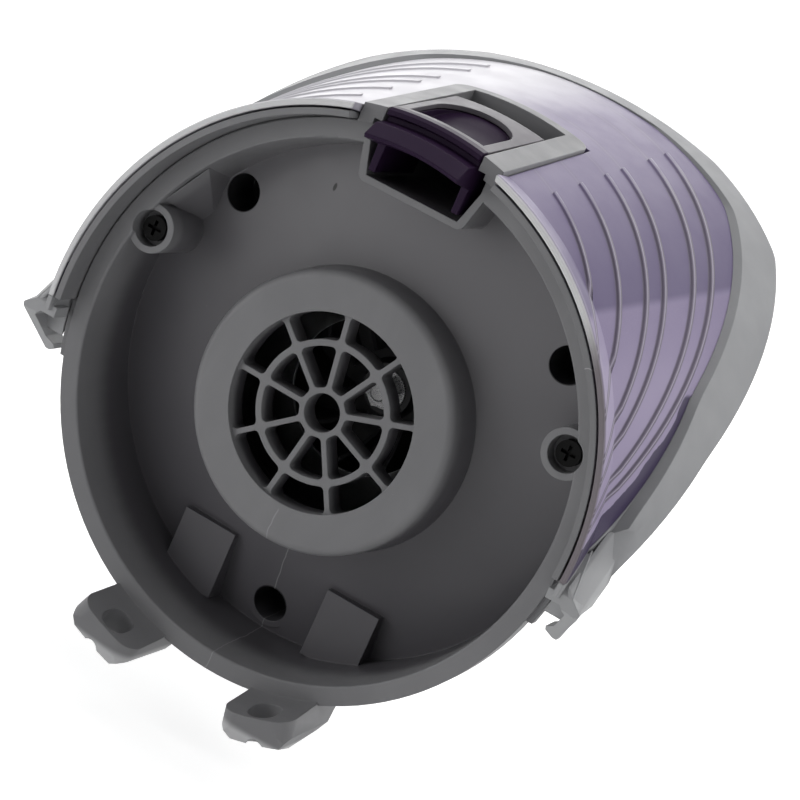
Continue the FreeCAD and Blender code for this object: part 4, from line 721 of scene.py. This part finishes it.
class Workshop:
    """Makes the pieces: finished copies of the nodes, and each slot's material once."""

    def __init__(self) -> None:
        """Reads each node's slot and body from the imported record."""
        record = frame["record"]
        self.slots = {row["node"]: Slot(row["material_slot"]) for row in record["subparts"]}
        self.bodies = {node: body for body, nodes in record["behaviour"]["bodies"].items()
                       for node in nodes}
        self.materials: dict[Slot, bpy.types.Material] = {}
        self.made: set[str] = set()

    def finish_of(self, slot: Slot) -> bpy.types.Material:
        """Gives a slot's material, made the first time that it is asked for.

        Args:
            slot: The record's slot.

        Returns:
            The material.
        """
        if slot not in self.materials:
            self.materials[slot] = FINISHES[slot].material()
        return self.materials[slot]

    def pick(self, piece: Piece) -> None:
        """Makes a piece the only selected one.

        Args:
            piece: The piece.
        """
        bpy.ops.object.select_all(action="DESELECT")
        piece.select_set(True)
        bpy.context.view_layer.objects.active = piece

    def smooth(self, piece: Piece) -> None:
        """Shades a piece's curves smooth and leaves its edges sharp."""
        self.pick(piece)
        bpy.ops.object.shade_smooth_by_angle(angle=SHARP_EDGE)

    def carve(self, piece: Piece, tool: Piece, operation: str) -> None:
        """Cuts a piece with another, or keeps what they share.

        Args:
            piece: What is cut.
            tool: What cuts it.
            operation: DIFFERENCE or INTERSECT.
        """
        self.pick(piece)
        modifier = piece.modifiers.new("carve", "BOOLEAN")
        modifier.operation = operation
        modifier.object = tool
        bpy.ops.object.modifier_apply(modifier=modifier.name)

    def add(self, piece: Piece, slot: Slot, body: str) -> Piece:
        """Shades a piece, gives it its material and lets it ride on its body.

        Args:
            piece: The piece.
            slot: The record's slot.
            body: The body that it rides on.

        Returns:
            The piece.
        """
        self.smooth(piece)
        piece.data.materials.clear()
        piece.data.materials.append(self.finish_of(slot))
        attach(piece, body)
        return piece

    def arc(self, name: str, profile: list[Span], start: float, sweep: float, steps: int) -> Piece:
        """Spins a closed profile about the part's axis.

        Args:
            name: The new piece's name.
            profile: Radius and depth of each corner, in millimetres.
            start: Degrees from straight up, towards the right, where it starts.
            sweep: Degrees that it turns on from there.
            steps: How many steps it turns in.

        Returns:
            The new piece.
        """
        bpy.ops.object.select_all(action="DESELECT")
        bpy.ops.mesh.primitive_circle_add(vertices=len(profile), radius=0.01, fill_type="NOTHING")
        piece = bpy.context.active_object
        piece.name = name
        turn = math.radians(start)
        for vertex, (radius, depth) in zip(piece.data.vertices, profile):
            vertex.co = Vector((radius * math.sin(turn), depth, radius * math.cos(turn))) * MM
        bpy.ops.object.mode_set(mode="EDIT")
        bpy.ops.mesh.select_all(action="SELECT")
        bpy.ops.mesh.spin(steps=steps, angle=-math.radians(sweep), center=(0.0, 0.0, 0.0), axis=DEPTH)
        bpy.ops.mesh.select_all(action="SELECT")
        bpy.ops.mesh.fill_holes(sides=len(profile))
        bpy.ops.mesh.normals_make_consistent(inside=False)
        bpy.ops.object.mode_set(mode="OBJECT")
        return piece

    def hull(self, name: str, corners: list[Direction], soft: float = 0.0) -> Piece:
        """Makes the smallest closed form round some corners.

        Args:
            name: The new piece's name.
            corners: The corners, in millimetres.
            soft: How far its edges are rounded, in millimetres. They stay sharp at 0.

        Returns:
            The new piece.
        """
        mesh = bpy.data.meshes.new(name)
        mesh.from_pydata([Vector(corner) * MM for corner in corners], [], [])
        piece = bpy.data.objects.new(name, mesh)
        bpy.context.scene.collection.objects.link(piece)
        self.pick(piece)
        bpy.ops.object.mode_set(mode="EDIT")
        bpy.ops.mesh.select_all(action="SELECT")
        bpy.ops.mesh.convex_hull()
        bpy.ops.mesh.normals_make_consistent(inside=False)
        bpy.ops.object.mode_set(mode="OBJECT")
        if soft:
            edges = piece.modifiers.new("edges", "BEVEL")
            edges.width = soft * MM
            edges.segments = 4
            edges.limit_method = "NONE"
            bpy.ops.object.modifier_apply(modifier=edges.name)
        return piece

    def smooth_copy(self, node: str, name: str) -> Piece:
        """Copies a node's solid, joins its loose facets and shades its curves smooth.

        Args:
            node: The node.
            name: The new piece's name.

        Returns:
            The new piece, which stands for the node.
        """
        source = frame["nodes"][node]
        piece = bpy.data.objects.new(name, source.data.copy())
        bpy.context.scene.collection.objects.link(piece)
        self.pick(piece)
        self.made.add(node)
        bpy.ops.object.mode_set(mode="EDIT")
        bpy.ops.mesh.customdata_custom_splitnormals_clear()
        bpy.ops.mesh.select_all(action="SELECT")
        bpy.ops.mesh.remove_doubles(threshold=SAME_POINT)
        bpy.ops.object.mode_set(mode="OBJECT")
        self.add(piece, self.slots[node], self.bodies[node])
        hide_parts(node)
        return piece


@dataclass
class FrontHousing:
    """The dark front moulding with its dish, grille, sleeves, wells, trough and lugs.

    Attributes:
        nodes: The moulding, and the screws in its sleeves.
        lip_front: Depth of the front of the thin lip on the rim, in millimetres.
        lip_root: Depth of its root on the rim's flange.
        lip_inner: Its inner radius.
        lip_outer: Its outer radius at the front.
        lip_base: Its outer radius at the root.
        lip_ends: How long it keeps its outer radius in front, and at the root.
        lip_drop: How far below the axis it ends.
        lip_side: How far from the middle it starts, beside the latch's frame.
        lip_steps: How many steps its curve has.
        web: Corners of the gusset that ties the right sleeve to the dish's wall.
    """

    nodes: tuple[str, ...] = ("front_housing", "hood_screw_left", "hood_screw_right")
    lip_front: float = -6.4
    lip_root: float = 1.0
    lip_inner: float = 62.6
    lip_outer: float = 64.05
    lip_base: float = 63.45
    lip_ends: Span = (1.5, 1.0)
    lip_drop: float = 4.0
    lip_side: float = 17.1
    lip_steps: int = 60
    web: tuple[Direction, ...] = ((52.5, 1.6, 24.7), (45.6, 1.6, 35.5), (46.0, 21.0, 35.9),
                                  (53.0, 21.0, 24.6), (47.2, 21.0, 19.5))

    def build(self, workshop: Workshop) -> list[Piece]:
        """Makes the moulding, its screws, the lip on its rim and the webs by its sleeves.

        Args:
            workshop: What makes the pieces.

        Returns:
            The new pieces.
        """
        pieces = [workshop.smooth_copy(name, name + "_shown") for name in self.nodes]
        profile = [(self.lip_inner, self.lip_front), (self.lip_outer, self.lip_front),
                   (self.lip_outer, self.lip_front + self.lip_ends[0]),
                   (self.lip_base, self.lip_root - self.lip_ends[1]),
                   (self.lip_base, self.lip_root), (self.lip_inner, self.lip_root)]
        start = math.degrees(math.asin(self.lip_side / self.lip_inner))
        sweep = 90.0 - start + math.degrees(math.asin(self.lip_drop / self.lip_inner))
        body = workshop.bodies["front_housing"]
        for side, sign in SIDES:
            lip = workshop.arc(f"rim_lip_{side}", profile, sign * start, sign * sweep, self.lip_steps)
            web = workshop.hull(f"sleeve_web_{side}", [(sign * x, y, z) for x, y, z in self.web])
            pieces += [workshop.add(piece, Slot.HOUSING, body) for piece in (lip, web)]
        return pieces


@dataclass
class Hood:
    """The light grey band with its clips, and the purple cover, drawn forward over the rim.

    Attributes:
        face_depth: Depth of the plain cover's front face, in millimetres.
        middle_radius: A radius between its outer and inner faces.
        level_radius: Its outer radius there, without the ridges.
        steps: Depth, outer radius and inner radius of each step that the front edge takes forward.
        knee: Depth and height where the cover's straight lower line ends.
        toe: Depth and height where that line starts.
        wedge: Width, overrun and thickness of the block that cuts along it.
        clip_depth: Depth in front of which the clips' upper front corners are eased in.
        clip_side: Distance from the middle beyond which they are.
        clip_up: Height above which they are.
        clip_ease: How far they go in.
        clip_back: Depth in front of which their lower back corners go in as far.
        clip_corner: Distance from the middle beyond which the back corners are.
        toe_shift: How far the toes go back and down, which closes the seam behind them.
        cheek: Corners of the band's smooth run-out over the right clip.
        cheek_edge: Rounding of its edges.
        slack: How far off a face its points may be.
    """

    face_depth: float = 0.6
    middle_radius: float = 65.0
    level_radius: float = 65.55
    steps: tuple[Direction, ...] = ((-6.0, 66.0, 64.5), (-6.6, 65.65, 64.6))
    knee: Span = (31.0, 34.5)
    toe: Span = (-6.6, -4.0)
    wedge: Direction = (160.0, 15.0, 30.0)
    clip_depth: float = 7.0
    clip_side: float = 67.4
    clip_up: float = -7.0
    clip_ease: float = 2.1
    clip_back: float = 8.6
    clip_corner: float = 69.9
    toe_shift: Direction = (0.0, 0.2, -0.22)
    cheek: tuple[Direction, ...] = (
        (66.2, -5.4, -4.6), (67.2, -5.4, -4.9), (70.5, -5.4, -9.6), (68.9, -5.4, -9.6),
        (66.2, 5.2, 7.0), (67.2, 6.4, 7.2), (69.6, 9.4, 3.0), (70.2, 9.4, -3.5), (69.3, 8.4, -9.8),
    )
    cheek_edge: float = 1.1
    slack: float = 0.05

    def draw_forward(self, workshop: Workshop, cover: Piece) -> None:
        """Extrudes the cover's front face forward, and turns its edge to a true round.

        Args:
            workshop: What makes the pieces.
            cover: The cover's copy.
        """
        workshop.pick(cover)
        bpy.context.tool_settings.mesh_select_mode = (False, False, True)
        for item in (*cover.data.vertices, *cover.data.edges):
            item.select = False
        for face in cover.data.polygons:
            near_front = face.center.y < (self.face_depth + 2.0 * self.slack) * MM
            face.select = near_front and face.normal.y < -0.9
        before = self.face_depth
        for depth, outer, inner in self.steps:
            bpy.ops.object.mode_set(mode="EDIT")
            step = (0.0, (depth - before) * MM, 0.0)
            bpy.ops.mesh.extrude_region_move(TRANSFORM_OT_translate={"value": step})
            bpy.ops.object.mode_set(mode="OBJECT")
            for vertex in cover.data.vertices:
                if vertex.co.y < (depth + self.slack) * MM:
                    radius = math.hypot(vertex.co.x, vertex.co.z)
                    scale = (outer if radius > self.middle_radius * MM else inner) * MM / radius
                    vertex.co = (vertex.co.x * scale, vertex.co.y, vertex.co.z * scale)
            before = depth

    def level_ridges(self, cover: Piece) -> None:
        """Lets the ridges run out level at the front face.

        Args:
            cover: The cover's copy.
        """
        for vertex in cover.data.vertices:
            radius = math.hypot(vertex.co.x, vertex.co.z) / MM
            if radius > self.level_radius and vertex.co.y < (self.face_depth + self.slack) * MM:
                scale = self.level_radius / radius
                vertex.co = (vertex.co.x * scale, vertex.co.y, vertex.co.z * scale)

    def add_wedge(self) -> Piece:
        """Adds the block that lies under the cover's straight lower line.

        Returns:
            The block.
        """
        width, overrun, thick = self.wedge
        line = Vector((0.0, self.knee[0] - self.toe[0], self.knee[1] - self.toe[1]))
        along = line.normalized()
        down = Vector((0.0, along.z, -along.y))
        middle = Vector((0.0, *self.toe)) + along * (line.length - overrun) / 2 + down * thick / 2
        bpy.ops.object.select_all(action="DESELECT")
        slope = math.atan2(along.z, along.y)
        bpy.ops.mesh.primitive_cube_add(size=1.0, location=middle * MM, rotation=(slope, 0.0, 0.0))
        block = bpy.context.active_object
        block.scale = Vector((width, line.length + overrun, thick)) * MM
        return block

    def ease_clips(self, shell: Piece) -> None:
        """Brings the clips' upper front and lower back corners in, so that the band runs on into them.

        Args:
            shell: The band's copy.
        """
        for vertex in shell.data.vertices:
            side, depth, up = abs(vertex.co.x) / MM, vertex.co.y / MM, vertex.co.z / MM
            front = depth < self.clip_depth and up > self.clip_up and side > self.clip_side
            behind = self.clip_depth < depth < self.clip_back
            if front or (behind and up < self.clip_up and side > self.clip_corner):
                vertex.co.x -= math.copysign(self.clip_ease * MM, vertex.co.x)

    def build(self, workshop: Workshop) -> list[Piece]:
        """Makes the band, its toes and cheeks, and the cover.

        Args:
            workshop: What makes the pieces.

        Returns:
            The new pieces.
        """
        shell = workshop.smooth_copy("hood_shell", "hood_shell_shown")
        self.ease_clips(shell)
        cover = workshop.smooth_copy("hood_cover", "hood_cover_shown")
        self.level_ridges(cover)
        self.draw_forward(workshop, cover)
        toes = bpy.data.objects.new("band_toes", cover.data.copy())
        bpy.context.scene.collection.objects.link(toes)
        block = self.add_wedge()
        workshop.carve(cover, block, "DIFFERENCE")
        workshop.carve(toes, block, "INTERSECT")
        bpy.data.objects.remove(block)
        toes.data.transform(Matrix.Translation(Vector(self.toe_shift) * MM))
        workshop.smooth(cover)
        added = [toes]
        for side, sign in SIDES:
            corners = [(sign * x, y, z) for x, y, z in self.cheek]
            added.append(workshop.hull(f"clip_cheek_{side}", corners, self.cheek_edge))
        body = workshop.bodies["hood_shell"]
        return [shell, cover, *(workshop.add(piece, Slot.BAND, body) for piece in added)]


@dataclass
class ReleaseLatch:
    """The sprung latch on top, with its silver plate.

    Attributes:
        nodes: The latch and its plate.
        spring: The spring behind it.
        joint: The joint that the latch slides on. It is not used.
    """

    nodes: tuple[str, ...] = ("latch_slider", "latch_plate")
    spring: str = "latch_spring"
    joint: str = "latch_slide"

    def build(self, workshop: Workshop) -> list[Piece]:
        """Makes the latch's pieces.

        Args:
            workshop: What makes the pieces.

        Returns:
            The new pieces.
        """
        pieces = [workshop.smooth_copy(name, name + "_shown") for name in self.nodes]
        spring = workshop.smooth_copy(self.spring, self.spring + "_shown")
        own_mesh(spring)
        return [*pieces, spring]


@dataclass
class MotorUnit:
    """Everything behind the grille: the fan, the motor and its cage."""

    def build(self, workshop: Workshop) -> list[Piece]:
        """Makes every piece that no other class has made."""
        rest = [name for name in workshop.slots if name not in workshop.made]
        return [workshop.smooth_copy(name, name + "_shown") for name in rest]


@dataclass
class Studio:
    """Pale floor, soft lamps, white surroundings and the camera.

    Attributes:
        camera_place: Where the camera stands, in metres.
        azimuth: Degrees that it looks to the left of +Y.
        elevation: Degrees that it looks down.
        roll: Degrees that it is turned about its line of sight.
        lens: Focal length in millimetres.
        sensor: Width of the picture behind it, in millimetres.
        aim: Where the lamps point, in metres.
        floor_gap: How far the floor is below the part, in metres.
        floor_side: Side of the floor, in metres.
        sides: Level of the room's light to the picture's right and left.
        ends: Level of the light from the picture's top and bottom.
        depths: Level of the light from behind the camera and from behind the part.
        lamps: Each lamp's direction along the camera's right, up and backward directions, its
            distance and side in metres, and its power in watts.
        glow: How much of the floor's white is its own, as the camera sees it.
    """

    camera_place: Direction = (0.1793, -0.4759, 0.1369)
    azimuth: float = 18.973
    elevation: float = 14.0
    roll: float = 24.08
    lens: float = 112.5
    sensor: float = 36.0
    aim: Direction = (0.0, 0.03, 0.0)
    floor_gap: float = 0.012
    floor_side: float = 12.0
    sides: Span = (1.5, 2.1)
    ends: Span = (0.1, 0.8)
    depths: Span = (0.05, 2.9)
    lamps: tuple[tuple[Direction, float, float, float], ...] = (
        ((0.1, 1.0, 0.15), 0.9, 0.7, 1.5),
        ((0.75, 0.8, 0.1), 0.9, 0.7, 2.6),
        ((0.25, 0.75, -0.7), 0.9, 0.7, 0.9),
        ((-0.83, 0.24, 0.48), 0.9, 0.5, 1.2),
    )
    glow: float = 0.45

    def axes(self) -> Matrix:
        """Gives the camera's right, up and backward directions as columns."""
        turn = math.radians(self.azimuth)
        drop = math.radians(self.elevation)
        ahead = math.cos(drop)
        forward = Vector((-math.sin(turn) * ahead, math.cos(turn) * ahead, -math.sin(drop)))
        level = forward.cross(Vector(UP)).normalized()
        upright = level.cross(forward)
        lean = math.radians(self.roll)
        right = level * math.cos(lean) + upright * math.sin(lean)
        up = upright * math.cos(lean) - level * math.sin(lean)
        return Matrix((right, up, -forward)).transposed()

    def add_camera(self) -> None:
        """Adds the camera and makes it the scene's own."""
        data = bpy.data.cameras.new("camera")
        data.lens = self.lens
        data.sensor_width = self.sensor
        data.clip_start = 0.01
        camera = bpy.data.objects.new("camera", data)
        bpy.context.scene.collection.objects.link(camera)
        camera.matrix_world = Matrix.Translation(self.camera_place) @ self.axes().to_4x4()
        bpy.context.scene.camera = camera

    def add_lamp(self, name: str, direction: Direction, distance: float, size: float,
                 power: float) -> None:
        """Adds a square soft lamp that faces the part.

        Args:
            name: The lamp's name.
            direction: Where it stands, along the camera's right, up and backward directions.
            distance: Its distance from the part, in metres.
            size: Its side, in metres.
            power: Its power in watts.
        """
        data = bpy.data.lights.new(name, "AREA")
        data.energy = power
        data.size = size
        lamp = bpy.data.objects.new(name, data)
        bpy.context.scene.collection.objects.link(lamp)
        aim = Vector(self.aim)
        place = (self.axes() @ Vector(direction)).normalized() * distance + aim
        turned = (aim - place).to_track_quat("-Z", "Y").to_matrix().to_4x4()
        lamp.matrix_world = Matrix.Translation(place) @ turned

    def add_surroundings(self) -> None:
        """Adds the soft room, with a light level for each side of the picture, white to the camera."""
        world = bpy.data.worlds.new("white_room")
        bpy.context.scene.world = world
        sheet = Sheet(world)
        axes = self.axes()
        total: object = 0.0
        for column, levels in enumerate((self.sides, self.ends, self.depths)):
            facing = sheet.node("ShaderNodeVectorMath", operation="DOT_PRODUCT")
            sheet.feed(facing.inputs[0], sheet.coordinates.outputs["Generated"])
            facing.inputs[1].default_value = axes.col[column]
            value = facing.outputs["Value"]
            ahead = sheet.maths("GREATER_THAN", value, 0.0)
            level = sheet.maths("ADD", sheet.maths("MULTIPLY", ahead, levels[0] - levels[1]), levels[1])
            share = sheet.maths("MULTIPLY", value, value)
            total = sheet.maths("ADD", total, sheet.maths("MULTIPLY", share, level))
        seen = sheet.node("ShaderNodeLightPath").outputs["Is Camera Ray"]
        hidden = sheet.maths("SUBTRACT", 1.0, seen)
        strength = sheet.maths("ADD", seen, sheet.maths("MULTIPLY", hidden, total))
        background = sheet.node("ShaderNodeBackground")
        background.inputs["Color"].default_value = (1.0, 1.0, 1.0, 1.0)
        sheet.feed(background.inputs["Strength"], strength)
        output = sheet.node("ShaderNodeOutputWorld")
        sheet.feed(output.inputs["Surface"], background.outputs["Background"])

    def add_floor(self) -> None:
        """Adds a pale floor a little below the part."""
        low = CAD_BOX[0][2] - self.floor_gap
        bpy.ops.object.select_all(action="DESELECT")
        bpy.ops.mesh.primitive_plane_add(size=self.floor_side, location=(0.0, 0.0, low))
        floor = bpy.context.active_object
        floor.name = "floor"
        material = bpy.data.materials.new("floor_white")
        sheet = Sheet(material)
        matt = sheet.node("ShaderNodeBsdfDiffuse")
        matt.inputs["Color"].default_value = (0.9, 0.9, 0.9, 1.0)
        glow = sheet.node("ShaderNodeEmission")
        glow.inputs["Color"].default_value = (1.0, 1.0, 1.0, 1.0)
        seen = sheet.node("ShaderNodeLightPath").outputs["Is Camera Ray"]
        sheet.feed(glow.inputs["Strength"], sheet.maths("MULTIPLY", seen, self.glow))
        both = sheet.node("ShaderNodeAddShader")
        sheet.feed(both.inputs[0], matt.outputs["BSDF"])
        sheet.feed(both.inputs[1], glow.outputs["Emission"])
        output = sheet.node("ShaderNodeOutputMaterial")
        sheet.feed(output.inputs["Surface"], both.outputs["Shader"])
        floor.data.materials.append(material)

    def build(self) -> None:
        """Adds the camera, the surroundings, the floor and the lamps."""
        self.add_camera()
        self.add_surroundings()
        self.add_floor()
        for index, lamp in enumerate(self.lamps, start=1):
            self.add_lamp(f"lamp_{index}", *lamp)
        bpy.context.scene.view_settings.view_transform = "Standard"


def main() -> None:
    """Builds the studio and every piece, and reports each piece."""
    logging.basicConfig(level=logging.INFO, format="%(message)s")
    Studio().build()
    workshop = Workshop()
    for assembly in (FrontHousing(), Hood(), ReleaseLatch(), MotorUnit()):
        for piece in assembly.build(workshop):
            LOG.info("%s: %d faces", piece.name, len(piece.data.polygons))


if __name__ == "__main__":
    main()
